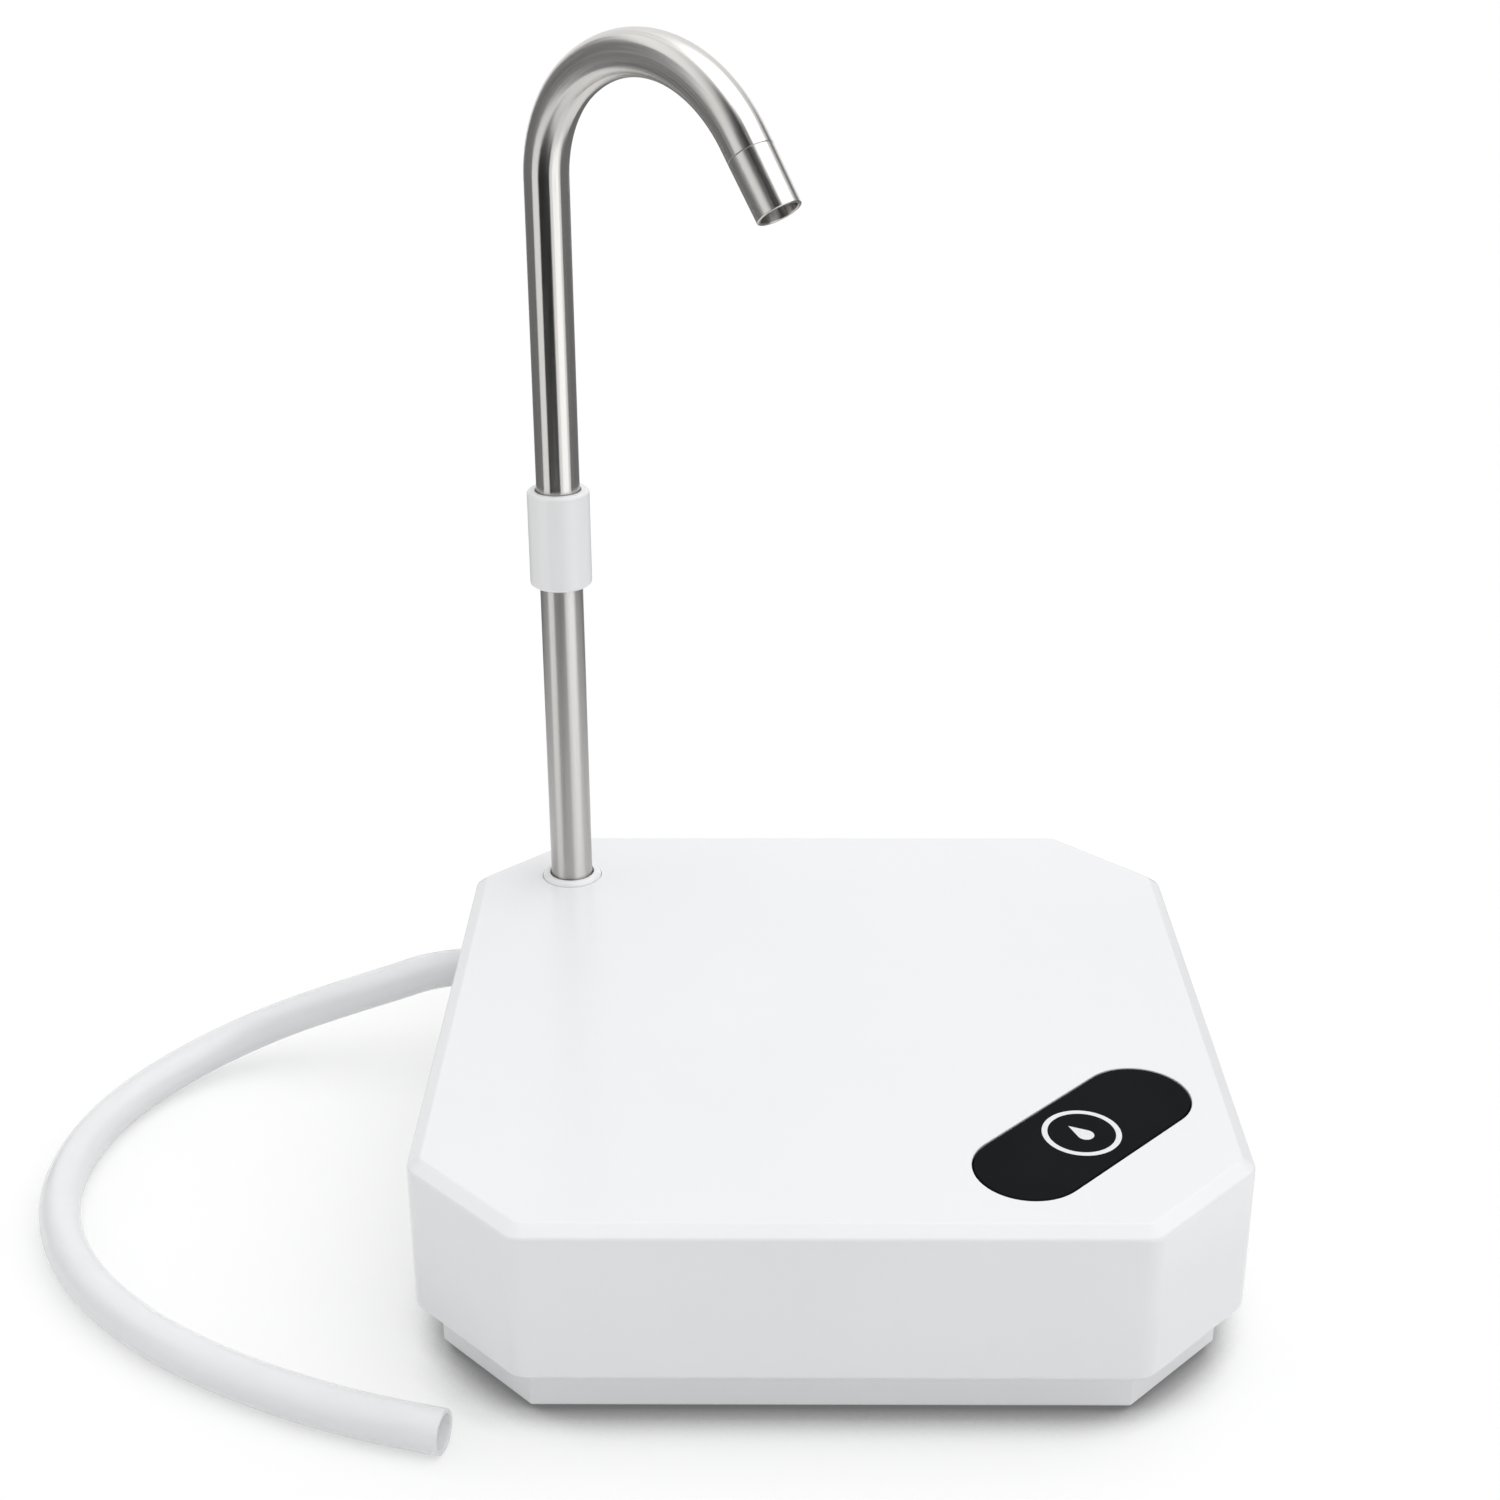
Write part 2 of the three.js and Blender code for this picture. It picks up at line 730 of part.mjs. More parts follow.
// Collar: a sleeve with a rib inside that both tubes meet, and a ring groove on either side of it
function makeCollar() {
  const top = collarBottom + collarLength;
  const bore = tubeRadius + turnGap;
  const groove = bore + 2 * collarRingSection + turnGap / 2;
  const low = collarBottom + collarRingInset;
  const high = top - collarRingInset;
  const half = collarRingHeight / 2;
  const rib = collarRib / 2;
  const soften = collarRound * (1 - Math.SQRT1_2);
  return turned([
    [bore, collarBottom],
    [collarRadius - collarRound, collarBottom],
    [collarRadius - soften, collarBottom + soften],
    [collarRadius, collarBottom + collarRound],
    [collarRadius, top - collarRound],
    [collarRadius - soften, top - soften],
    [collarRadius - collarRound, top],
    [bore, top],
    [bore, high + half],
    [groove, high + half],
    [groove, high - half],
    [bore, high - half],
    [bore, collarMiddle + rib],
    [tubeRadius - tubeWall, collarMiddle + rib],
    [tubeRadius - tubeWall, collarMiddle - rib],
    [bore, collarMiddle - rib],
    [bore, low + half],
    [groove, low + half],
    [groove, low - half],
    [bore, low - half],
    [bore, collarBottom],
  ]);
}
spout.add(piece("tube_collar", makeCollar(), "white"));
spout.add(piece(
  "collar_ring_lower", oRing(collarBottom + collarRingInset, collarRingSection), "rubber",
));
spout.add(piece(
  "collar_ring_upper",
  oRing(collarBottom + collarLength - collarRingInset, collarRingSection),
  "rubber",
));

// The gooseneck's centreline: straight up, two arcs that bend the same way, then straight on
const tipTurn = firstBendAngle + secondBendAngle;
const tipAxis = new THREE.Vector3(Math.sin(tipTurn), 0, Math.cos(tipTurn));
class NeckCurve extends THREE.Curve {
  constructor(bottom) {
    super();
    this.straight = bendStart - bottom;
    this.bottom = bottom;
    this.first = firstBendRadius * firstBendAngle;
    this.second = secondBendRadius * secondBendAngle;
    this.length = this.straight + this.first + this.second + neckEndStraight;
  }

  // The point of an arc that starts after a turn of from, about a centre at the given reach.
  arc(start, radius, from, turn) {
    return new THREE.Vector3(
      start.x + radius * (Math.cos(from) - Math.cos(from + turn)),
      0,
      start.z + radius * (Math.sin(from + turn) - Math.sin(from)),
    );
  }

  getPoint(share, target = new THREE.Vector3()) {
    const along = share * this.length;
    const up = new THREE.Vector3(0, 0, this.bottom + Math.min(along, this.straight));
    if (along <= this.straight) return target.copy(up);
    const past = along - this.straight;
    if (past <= this.first) {
      return target.copy(this.arc(up, firstBendRadius, 0, past / firstBendRadius));
    }
    const bend = this.arc(up, firstBendRadius, 0, firstBendAngle);
    const round = Math.min(past - this.first, this.second);
    const end = this.arc(bend, secondBendRadius, firstBendAngle, round / secondBendRadius);
    return target.copy(end).addScaledVector(tipAxis, past - this.first - round);
  }
}
const neckCurve = new NeckCurve(collarMiddle + collarRib / 2 + seatGap);
const neckEnd = neckCurve.getPoint(1);
const neck = new THREE.Group();
neck.rotation.z = neckAngle;
neck.add(piece(
  "gooseneck_tube",
  alongCurve(neckCurve, tubeRadius, tubeRadius - tubeWall, facesOfSmallRound, neckSteps),
  "stainless",
));

// Spout tip: a short straight sleeve whose spigot plugs into the end of the gooseneck
function makeTip() {
  const mouth = tubeRadius - tipTaper;
  const spigot = tubeRadius - tubeWall - turnGap;
  const bore = spigot - spigotWall;
  return turned([
    [bore, 0],
    [spigot, 0],
    [spigot, spigotLength],
    [tubeRadius, spigotLength],
    [mouth, spigotLength + tipLength - seatGap],
    [mouth - tubeWall, spigotLength + tipLength - seatGap],
    [bore, spigotLength + spigotWall],
    [bore, 0],
  ]);
}
const tip = piece("spout_tip", makeTip(), "stainless");
tip.rotation.y = tipTurn;
tip.position.copy(neckEnd).addScaledVector(tipAxis, seatGap - spigotLength);
neck.add(tip);
spout.add(neck);
pump.add(spout);

// Key, in a group turned with its long axis; heights stay those of the casing
const key = new THREE.Group();
key.position.set(keyX, keyY, 0);
key.rotation.z = keyAngle;
const keyUnder = topZ - keyThickness;
const flangeBottom = keyUnder - keyFlangeHeight;
const switchTop = keyBoardTop + seatGap + switchHeight;
const plungerTop = switchTop + plungerProud;
const plungerBottom = switchTop - plungerDepth;
key.add(piece(
  "power_key",
  join(
    slab(pill(keyHalfStraight, keyRadius), keyUnder - keyFlangeHeight / 2, topZ),
    slab(pill(keyHalfStraight, keyRadius + keyFlange), flangeBottom, keyUnder),
    rod(keyStemRadius, plungerTop + seatGap, keyUnder, facesOfSmallRound),
  ),
  "black",
));
key.add(piece(
  "switch_plunger",
  rod(plungerRadius, plungerBottom, plungerTop, facesOfSmallRound),
  "grey",
));
key.add(piece(
  "switch_body",
  cut(
    block(
      [-switchWidth / 2, switchWidth / 2],
      [-switchWidth / 2, switchWidth / 2],
      [keyBoardTop + seatGap, switchTop],
    ),
    rod(
      plungerRadius + turnGap, plungerBottom - keyTravel - seatGap, switchTop + overrun,
      facesOfSmallRound,
    ),
  ),
  "black",
));
const keyScrewReach = [-keyBoardEnd, keyBoardEnd];
key.add(piece(
  "key_board",
  cut(
    slab(
      pill(
        keyBoardEnd + keyPostRadius - keyBoardWidth / 2 + seatGap, keyBoardWidth / 2, pillSteps / 2,
      ),
      keyBoardTop - boardThickness, keyBoardTop,
    ),
    ...keyScrewReach.map((x) =>
      rod(boardScrewShank + turnGap, keyBoardTop - overrun, keyBoardTop + overrun, facesOfScrew)
        .translate(x, 0, 0)),
  ),
  "green",
));
keyScrewReach.forEach((x, i) => {
  const shape = screw(
    boardScrewShank, boardScrewHead, boardScrewHeadHeight,
    boardThickness + boardScrewBite - seatGap, boardThickness - keyBoardTop + seatGap,
  );
  const keyScrew = piece(`key_screw_${i + 1}`, shape.rotateX(Math.PI), "steel");
  keyScrew.position.x = x;
  key.add(keyScrew);
});
pump.add(key);

// Gear pump, along X: in these groups Z runs from the motor's face and X points down
const drive = new THREE.Group();
drive.position.set(pumpX, pumpY, pumpZ);
drive.rotation.y = Math.PI / 2;
const headFront = -seatGap - headLength;
const chamberBack = headFront + gearWidth + 2 * seatGap;
const gearMiddle = headFront + seatGap + gearWidth / 2;
const coverScrewPlaces = [[1, 1], [-1, -1], [1, -1], [-1, 1]].map(([x, y]) => [
  x * ((headHigh - headLow) / 2 - headMargin * headScrewShare) - (headMiddle - pumpZ),
  y * (headHalfWidth - headMargin * headScrewShare),
]);

function headOutline() {
  return rectangle((headHigh - headLow) / 2, headHalfWidth, headRound)
    .map((p) => new THREE.Vector2(p.x - (headMiddle - pumpZ), p.y));
}

function makeHousing() {
  const chamber = [0, -gearDistance].map((x) =>
    rod(chamberRadius, headFront - overrun, chamberBack).translate(x, 0, 0));
  const portX = pumpZ - portMiddle;
  const sides = bothSides.map((side) =>
    barb(barbRadius, headHalfWidth - headMargin / 2, barbLength + headMargin / 2)
      .rotateX((-side * Math.PI) / 2)
      .translate(portX, 0, gearMiddle));
  const passages = bothSides.map((side) =>
    rod(barbBore, 0, headHalfWidth + barbLength + overrun, facesOfSmallRound)
      .rotateX((-side * Math.PI) / 2)
      .translate(portX, 0, gearMiddle));
  const shaftHole = rod(shaftRadius + turnGap, chamberBack - overrun, overrun, facesOfSmallRound);
  const sealPocket = rod(
    sealRadius + turnGap, chamberBack + chamberWall, overrun, facesOfSmallRound,
  );
  const pinHole = rod(
    shaftRadius + turnGap, chamberBack - overrun, chamberBack + chamberWall / 2, facesOfSmallRound,
  ).translate(-gearDistance, 0, 0);
  const screwHoles = coverScrewPlaces.map(([x, y]) =>
    rod(coverScrewShank + turnGap, headFront - overrun, headFront + coverScrewLength, facesOfScrew)
      .translate(x, y, 0));
  return cut(
    join(slab(headOutline(), headFront, -seatGap), ...sides),
    ...chamber, ...passages, shaftHole, sealPocket, pinHole, ...screwHoles,
  );
}

function makeCover() {
  const back = headFront - seatGap;
  const bearings = [0, -gearDistance].map((x) =>
    rod(shaftRadius + turnGap, back - coverThickness / 2, back + overrun, facesOfSmallRound)
      .translate(x, 0, 0));
  const screwHoles = coverScrewPlaces.map(([x, y]) =>
    rod(coverScrewShank + turnGap, back - coverThickness - overrun, back + overrun, facesOfScrew)
      .translate(x, y, 0));
  return cut(slab(headOutline(), back - coverThickness, back), ...bearings, ...screwHoles);
}

// A spur gear with involute flanks; phase 0.5 puts a gap where phase 0 has a tooth.
function makeGear(phase) {
  const baseRadius = pitchRadius * Math.cos(gearPressureAngle);
  const involute = (radius) => {
    const angle = Math.acos(Math.min(1, baseRadius / radius));
    return Math.tan(angle) - angle;
  };
  const halfAtPitch = Math.PI / (2 * gearTeeth) - gearBacklash / (4 * pitchRadius);
  const halfAngle = (radius) => halfAtPitch + involute(pitchRadius) - involute(Math.max(radius, baseRadius));
  const flank = [rootRadius, baseRadius, pitchRadius, tipRadius];
  const outline = [];
  for (let tooth = 0; tooth < gearTeeth; tooth++) {
    const middle = (2 * Math.PI * (tooth + phase)) / gearTeeth;
    const rising = flank.map((radius) => [radius, middle - halfAngle(radius)]);
    const falling = flank.map((radius) => [radius, middle + halfAngle(radius)]).reverse();
    for (const [radius, turn] of [...rising, ...falling]) {
      outline.push(new THREE.Vector2(radius * Math.cos(turn), radius * Math.sin(turn)));
    }
  }
  const low = gearMiddle - gearWidth / 2;
  const high = gearMiddle + gearWidth / 2;
  return cut(
    slab(outline, low, high),
    rod(shaftRadius + turnGap, low - overrun, high + overrun, facesOfSmallRound),
  );
}

const shaftFront = headFront - seatGap - coverThickness / 2 + seatGap;
const rotorStart = (motorLength - rotorLength) / 2;
drive.add(piece("pump_housing", makeHousing(), "amber"));
drive.add(piece("pump_cover", makeCover(), "amber"));
drive.add(piece("drive_gear", makeGear(0), "white"));
const idler = new THREE.Group();
idler.position.x = -gearDistance;
idler.add(piece("driven_gear", makeGear(gearTeeth / 2 + 0.5), "white"));
idler.add(piece(
  "idler_pin",
  rod(shaftRadius, shaftFront, chamberBack + chamberWall / 2 - seatGap, facesOfSmallRound),
  "steel",
));
drive.add(idler);
drive.add(piece(
  "shaft_seal",
  sleeve(
    sealRadius, shaftRadius + turnGap, chamberBack + chamberWall + seatGap,
    chamberBack + chamberWall + seatGap + sealLength, facesOfSmallRound,
  ),
  "rubber",
));
drive.add(piece(
  "motor_shaft",
  turned([
    [0, shaftFront],
    [shaftRadius, shaftFront],
    [shaftRadius, rotorStart],
    [rotorRadius, rotorStart],
    [rotorRadius, rotorStart + rotorLength],
    [shaftRadius, rotorStart + rotorLength],
    [shaftRadius, motorLength + endCapLength / 2],
    [0, motorLength + endCapLength / 2],
  ], facesOfSmallRound),
  "steel",
));
drive.add(piece(
  "motor_can",
  turned([
    [shaftRadius + turnGap, 0],
    [motorRadius, 0],
    [motorRadius, motorLength],
    [motorRadius - motorWall, motorLength],
    [motorRadius - motorWall, motorWall],
    [shaftRadius + turnGap, motorWall],
    [shaftRadius + turnGap, 0],
  ]),
  "steel",
));
const capFace = motorLength + seatGap;
const terminalX = motorRadius / 2;
drive.add(piece(
  "motor_end_cap",
  cut(
    join(
      rod(motorRadius - motorWall - seatGap, capFace - motorWall, capFace),
      rod(motorRadius, capFace, capFace + endCapLength),
    ),
    rod(shaftRadius + turnGap, 0, motorLength + endCapLength / 2 + seatGap, facesOfSmallRound),
  ),
  "black",
));
coverScrewPlaces.slice(0, 2).forEach(([x, y], i) => {
  const seat = headFront - 2 * seatGap - coverThickness;
  const shape = screw(
    coverScrewShank, coverScrewHead, boardScrewHeadHeight, coverThickness + coverScrewLength - seatGap,
    -seat,
  );
  const coverScrew = piece(`cover_screw_${i + 1}`, shape.rotateX(Math.PI), "steel");
  coverScrew.position.set(x, y, 0);
  drive.add(coverScrew);
});
pump.add(drive);

// Motor clamp: a strap over the can with a foot on each post
function makeClamp() {
  const inner = motorRadius + seatGap;
  const outer = inner + clampThickness;
  const footOuter = clampReach + clampFoot / 2;
  const across = [-clampWidth / 2, clampWidth / 2];
  const hoop = sleeve(outer, inner, -clampWidth / 2, clampWidth / 2).rotateY(Math.PI / 2);
  const lowerHalf = block(
    [-clampWidth, clampWidth], [-outer - overrun, outer + overrun], [-outer - overrun, 0],
  );
  const feet = bothSides.map((side) => block(
    across,
    side > 0 ? [inner + clampThickness / 2, footOuter] : [-footOuter, -inner - clampThickness / 2],
    [0, clampThickness],
  ));
  const holes = bothSides.map((side) =>
    rod(clampScrewShank + turnGap, -overrun, overrun, facesOfScrew).translate(0, side * clampReach, 0));
  return cut(join(cut(hoop, lowerHalf), ...feet), ...holes);
}
const clamp = new THREE.Group();
clamp.position.set(clampMiddle, pumpY, pumpZ);
clamp.add(piece("motor_clamp", makeClamp(), "steel"));
bothSides.forEach((side, i) => {
  const clampScrew = piece(
    `clamp_screw_${i + 1}`,
    screw(
      clampScrewShank, clampScrewHead, boardScrewHeadHeight, clampThickness + clampScrewBite,
      clampThickness + seatGap,
    ),
    "steel",
  );
  clampScrew.position.y = side * clampReach;
  clamp.add(clampScrew);
});
pump.add(clamp);

// Battery: Z runs along the cell in the holder's own frame, and X points down
const battery = new THREE.Group();
const cellZ = floorZ + seatGap + holderWall + seatGap + cellRadius;
battery.position.set(batteryX, batteryY, cellZ);
battery.rotation.y = Math.PI / 2;
battery.add(piece(
  "battery_cell",
  turned([
    [0, -cellLength / 2],
    [cellRadius, -cellLength / 2],
    [cellRadius, cellLength / 2 - cellNubLength],
    [cellNub, cellLength / 2 - cellNubLength],
    [cellNub, cellLength / 2],
    [0, cellLength / 2],
  ]),
  "grey",
));
const holderUnder = cellRadius + seatGap + holderWall;
const holderSide = cellRadius + seatGap + holderWall;
battery.add(piece(
  "battery_holder",
  cut(
    block(
      [holderUnder - holderHeight, holderUnder], [-holderSide, holderSide],
      [-holderHalfLength, holderHalfLength],
    ),
    rod(cellRadius + seatGap, holderWall - holderHalfLength, holderHalfLength - holderWall),
    block(
      [holderUnder - holderHeight - overrun, 0],
      [-cellRadius - seatGap, cellRadius + seatGap],
      [holderWall - holderHalfLength, holderHalfLength - holderWall],
    ),
  ),
  "black",
));
const contactFace = holderHalfLength - holderWall - seatGap;
const contactSquare = [-contactHalfWidth, contactHalfWidth];
battery.add(piece(
  "contact_plus",
  join(
    block(contactSquare, contactSquare, [contactFace - contactThickness, contactFace]),
    rod(cellNub, cellLength / 2 + seatGap, contactFace - contactThickness / 2, facesOfScrew),
  ),
  "steel",
));
battery.add(piece(
  "contact_spring",
  join(
    block(contactSquare, contactSquare, [-contactFace, contactThickness - contactFace]),
    turned([
      [0, contactThickness / 2 - contactFace],
      [cellNub + contactThickness, contactThickness / 2 - contactFace],
      [cellNub, -cellLength / 2 - seatGap],
      [0, -cellLength / 2 - seatGap],
    ], facesOfScrew),
  ),
  "steel",
));
pump.add(battery);

// Main board and what is soldered on it
const board = new THREE.Group();
const onBoard = boardTop + seatGap;
board.add(piece(
  "main_board",
  cut(
    block([boardLeft, boardRight], [boardFront, boardRear], [boardTop - boardThickness, boardTop]),
    ...boardScrewPlaces.map(([x, y]) =>
      rod(boardScrewShank + turnGap, boardTop - overrun, boardTop + overrun, facesOfScrew)
        .translate(x, y, 0)),
  ),
  "green",
));
boardScrewPlaces.forEach(([x, y], i) => {
  const boardScrew = piece(
    `board_screw_${i + 1}`,
    screw(
      boardScrewShank, boardScrewHead, boardScrewHeadHeight, boardThickness + boardScrewBite, onBoard,
    ),
    "steel",
  );
  boardScrew.position.set(x, y, 0);
  board.add(boardScrew);
});

function makeUsbSocket() {
  const rear = innerFace - usbRearGap;
  const straight = usbHalfWidth - usbHeight / 2;
  const section = (radius) => pill(straight, radius, pillSteps / 2);
  const mouth = slab(section(usbHeight / 2 - usbWall), usbWall, usbDepth + overrun);
  const outer = slab(section(usbHeight / 2), 0, usbDepth);
  const tongue = block(
    [-straight, straight], [-usbTongue / 2, usbTongue / 2], [usbWall / 2, usbDepth - 2 * usbWall],
  );
  return join(cut(outer, mouth), tongue)
    .rotateX(-Math.PI / 2)
    .translate(usbX, rear - usbDepth, onBoard + usbHeight / 2);
}
board.add(piece("usb_socket", makeUsbSocket(), "steel"));

function boxOnBoard([x, y], width, depth, height) {
  return block(
    [x - width / 2, x + width / 2], [y - depth / 2, y + depth / 2], [onBoard, onBoard + height],
  );
}
const onBoardAt = ([x, y]) => [boardLeft + x * boardWidth, boardFront + y * boardDepth];
const motorPlug = onBoardAt(motorPlugShares);
const batteryPlug = onBoardAt(batteryPlugShares);
const keyPlug = onBoardAt(keyPlugShares);
board.add(piece(
  "driver_chip", boxOnBoard(onBoardAt(chipShares), chipWidth, chipWidth, chipHeight), "black",
));
board.add(piece(
  "boost_coil", boxOnBoard(onBoardAt(coilShares), coilWidth, coilWidth, coilHeight), "grey",
));
board.add(piece("motor_plug", boxOnBoard(motorPlug, plugWidth, plugDepth, plugHeight), "white"));
board.add(piece("battery_plug", boxOnBoard(batteryPlug, plugWidth, plugDepth, plugHeight), "white"));
pump.add(board);

// Wires, each a thin rod: out of its terminal, over the motor at a height of its own, and down
const wires = new THREE.Group();
const plugTop = onBoard + plugHeight + seatGap;
const overMotor = pumpZ + motorRadius + wireRadius + seatGap;
function wire(name, finish, from, leaving, to, level) {
  const above = (point) => point.clone().setZ(overMotor + level * wireLevel);
  const start = from.clone().addScaledVector(leaving, wireLift);
  const middle = start.clone().lerp(to, 0.5);
  const points = [from, start, above(start.clone().lerp(middle, wireRiseShare)), above(middle)];
  points.push(above(to.clone().lerp(middle, wireDropShare)), to.clone().setZ(to.z + wireLift), to);
  return piece(
    name, alongCurve(new THREE.CatmullRomCurve3(points), wireRadius, 0, wireFaces, wireSteps), finish,
  );
}
const xWay = new THREE.Vector3(1, 0, 0);
const yWay = new THREE.Vector3(0, 1, 0);
const zWay = new THREE.Vector3(0, 0, 1);
const plugSides = [["red", -1], ["black", 1]];
plugSides.forEach(([finish, side], i) => {
  wires.add(wire(
    `motor_lead_${finish}`, finish,
    new THREE.Vector3(
      pumpX + capFace + endCapLength + seatGap, pumpY - (side * terminalX) / 2, pumpZ + terminalX,
    ),
    xWay,
    new THREE.Vector3(motorPlug[0] + (side * plugWidth) / 4, motorPlug[1], plugTop),
    1 + i,
  ));
});
plugSides.forEach(([finish, side], i) => {
  wires.add(wire(
    `battery_lead_${finish}`, finish,
    new THREE.Vector3(
      batteryX - side * (holderHalfLength - holderWall / 2), batteryY + holderSide - holderWall / 2,
      cellZ + holderHeight - holderUnder + seatGap,
    ),
    zWay,
    new THREE.Vector3(batteryPlug[0] - (side * plugWidth) / 4, batteryPlug[1], plugTop),
    1 + plugSides.length + i,
  ));
});
wires.add(wire(
  "key_lead", "grey",
  new THREE.Vector3(keyX, keyY, keyBoardTop - boardThickness - seatGap),
  zWay.clone().negate(),
  new THREE.Vector3(keyPlug[0], keyPlug[1], onBoard),
  0,
));
pump.add(wires);

// Hose fitting: an elbow whose shoulder seats on the shell's left wall
function makeHoseFitting() {
  const wall = innerFace - seatGap;
  const outward = (geometry) => geometry.rotateY(-Math.PI / 2).translate(elbowX, portY, portZ);
  const forward = (geometry) => geometry.rotateX(Math.PI / 2).translate(elbowX, portY, portZ);
  const toOutside = halfWidth + elbowX + seatGap;
  const shoulder = wall + elbowX;
  const half = elbowWidth / 2;
  return cut(
    join(
      block(
        [elbowX - half, elbowX + half], [portY - elbowLeg, portY + half], [portZ - half, portZ + half],
      ),
      outward(rod(portBarbRadius, 0, toOutside, facesOfSmallRound)),
      outward(rod(portShoulder, shoulder - portShoulderThickness, shoulder, facesOfSmallRound)),
      outward(barb(portBarbRadius, toOutside - seatGap, portBarbLength)),
      forward(barb(barbRadius, elbowLeg - seatGap, barbLength + seatGap)),
    ),
    outward(rod(barbBore, 0, toOutside + portBarbLength + overrun, facesOfSmallRound)),
    forward(rod(barbBore, -barbBore, elbowLeg + barbLength + overrun, facesOfSmallRound)),
  );
}
const hoses = new THREE.Group();
hoses.add(piece("hose_fitting", makeHoseFitting(), "white"));

// Suction hose: out of the left wall, down to the surface and round to the front, 263 mm long
const suctionRoute = [
  [-84.3, 51.3, 26.4], [-88, 51.3, 26.3], [-92.5, 51.3, 25.7], [-98, 51.4, 24.3],
  [-104.5, 51.5, 21.9], [-113.2, 51.8, 18.7], [-122.8, 51.6, 15.3], [-132.3, 50.7, 12],
  [-141.5, 47.9, 9.1], [-149.9, 43.2, 6.9], [-157.1, 36.7, 5.5], [-163.1, 28.4, 4.8],
  [-167.5, 19, 4.6], [-170.3, 8.7, 4.55], [-171.4, -2, 4.55], [-170.7, -12.6, 4.55],
  [-168.2, -22.7, 4.55], [-164.2, -32, 4.55], [-159, -40.5, 4.55], [-152.8, -48.2, 4.55],
  [-145.8, -55.2, 4.55], [-138.1, -61.6, 4.55], [-129.9, -67.2, 4.55], [-121.3, -72.3, 4.55],
  [-112.5, -76.8, 4.55], [-103.5, -80.8, 4.55], [-94.3, -84.3, 4.55], [-84.7, -87.3, 4.55],
  [-74.8, -90, 4.55],
];
const suctionCurve = new THREE.CatmullRomCurve3(suctionRoute.map((p) => new THREE.Vector3(...p)));
hoses.add(piece(
  "suction_hose",
  alongCurve(suctionCurve, suctionRadius, suctionBore, hoseFaces, suctionSteps),
  "silicone",
));

const pumpPortX = pumpX + gearMiddle;
const hoseStraight = barbLength + seatGap;
const inletPath = hosePath(
  new THREE.Vector3(elbowX, portY - elbowLeg - seatGap, portZ), yWay.clone().negate(),
  new THREE.Vector3(pumpPortX, pumpY - headHalfWidth - seatGap, portMiddle), yWay.clone().negate(),
  hoseStraight, (pumpPortX - elbowX) * inletReachShare,
);
const outletPath = hosePath(
  new THREE.Vector3(pumpPortX, pumpY + headHalfWidth + seatGap, portMiddle), yWay,
  new THREE.Vector3(spoutX + socketRadius + seatGap, spoutY, socketPortZ), xWay,
  hoseStraight, (pumpPortX - spoutX - socketRadius) * outletReachShare,
);
hoses.add(piece(
  "inlet_hose", alongCurve(inletPath, hoseRadius, hoseBore, hoseFaces, inletSteps), "silicone",
));
hoses.add(piece(
  "outlet_hose", alongCurve(outletPath, hoseRadius, hoseBore, hoseFaces, outletSteps), "silicone",
));
pump.add(hoses);

export default pump;
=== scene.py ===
import json
import math

import bmesh
import bpy
from mathutils import Matrix, Vector

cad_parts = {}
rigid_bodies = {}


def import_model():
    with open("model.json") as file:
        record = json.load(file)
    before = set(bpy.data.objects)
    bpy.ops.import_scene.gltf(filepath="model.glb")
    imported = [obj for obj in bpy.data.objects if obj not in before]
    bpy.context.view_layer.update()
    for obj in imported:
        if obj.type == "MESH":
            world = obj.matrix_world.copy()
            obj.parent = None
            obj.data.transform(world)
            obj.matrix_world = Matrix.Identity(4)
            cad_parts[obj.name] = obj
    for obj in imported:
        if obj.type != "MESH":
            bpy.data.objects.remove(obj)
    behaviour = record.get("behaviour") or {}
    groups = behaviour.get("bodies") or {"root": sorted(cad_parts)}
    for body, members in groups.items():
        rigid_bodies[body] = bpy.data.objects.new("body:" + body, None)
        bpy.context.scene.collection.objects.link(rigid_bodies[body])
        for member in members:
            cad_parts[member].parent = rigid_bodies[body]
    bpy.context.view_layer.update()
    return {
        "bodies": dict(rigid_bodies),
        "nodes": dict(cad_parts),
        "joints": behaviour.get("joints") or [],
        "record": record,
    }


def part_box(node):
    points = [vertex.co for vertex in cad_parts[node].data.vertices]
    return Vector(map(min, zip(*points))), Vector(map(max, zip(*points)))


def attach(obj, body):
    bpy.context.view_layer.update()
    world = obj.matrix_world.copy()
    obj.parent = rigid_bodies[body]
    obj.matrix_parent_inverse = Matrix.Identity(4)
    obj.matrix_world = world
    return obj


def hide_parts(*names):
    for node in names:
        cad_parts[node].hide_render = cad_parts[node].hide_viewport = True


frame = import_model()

mm = 0.001

# Camera: stands in front of the pump, a little left of its middle, and looks down at its casing.
# The picture's frame lies slightly below the axis of the lens.
camera_place = Vector((-13.17, -434.15, 303.6)) * mm
camera_pitch = 0.4009
camera_yaw = 0.0068
camera_roll = -0.0024
picture_px = 1500
focal_length_px = 2254
axis_above_middle_px = 50
camera = bpy.data.objects.new("camera", bpy.data.cameras.new("camera"))
bpy.context.scene.collection.objects.link(camera)
camera.matrix_world = (
    Matrix.Translation(camera_place)
    @ Matrix.Rotation(camera_yaw, 4, "Z")
    @ Matrix.Rotation(math.pi / 2 - camera_pitch, 4, "X")
    @ Matrix.Rotation(camera_roll, 4, "Z")
)
camera.data.lens = camera.data.sensor_width * focal_length_px / picture_px
camera.data.shift_y = -axis_above_middle_px / picture_px
camera.data.clip_start = 10 * mm
camera.data.clip_end = 50
bpy.context.scene.camera = camera

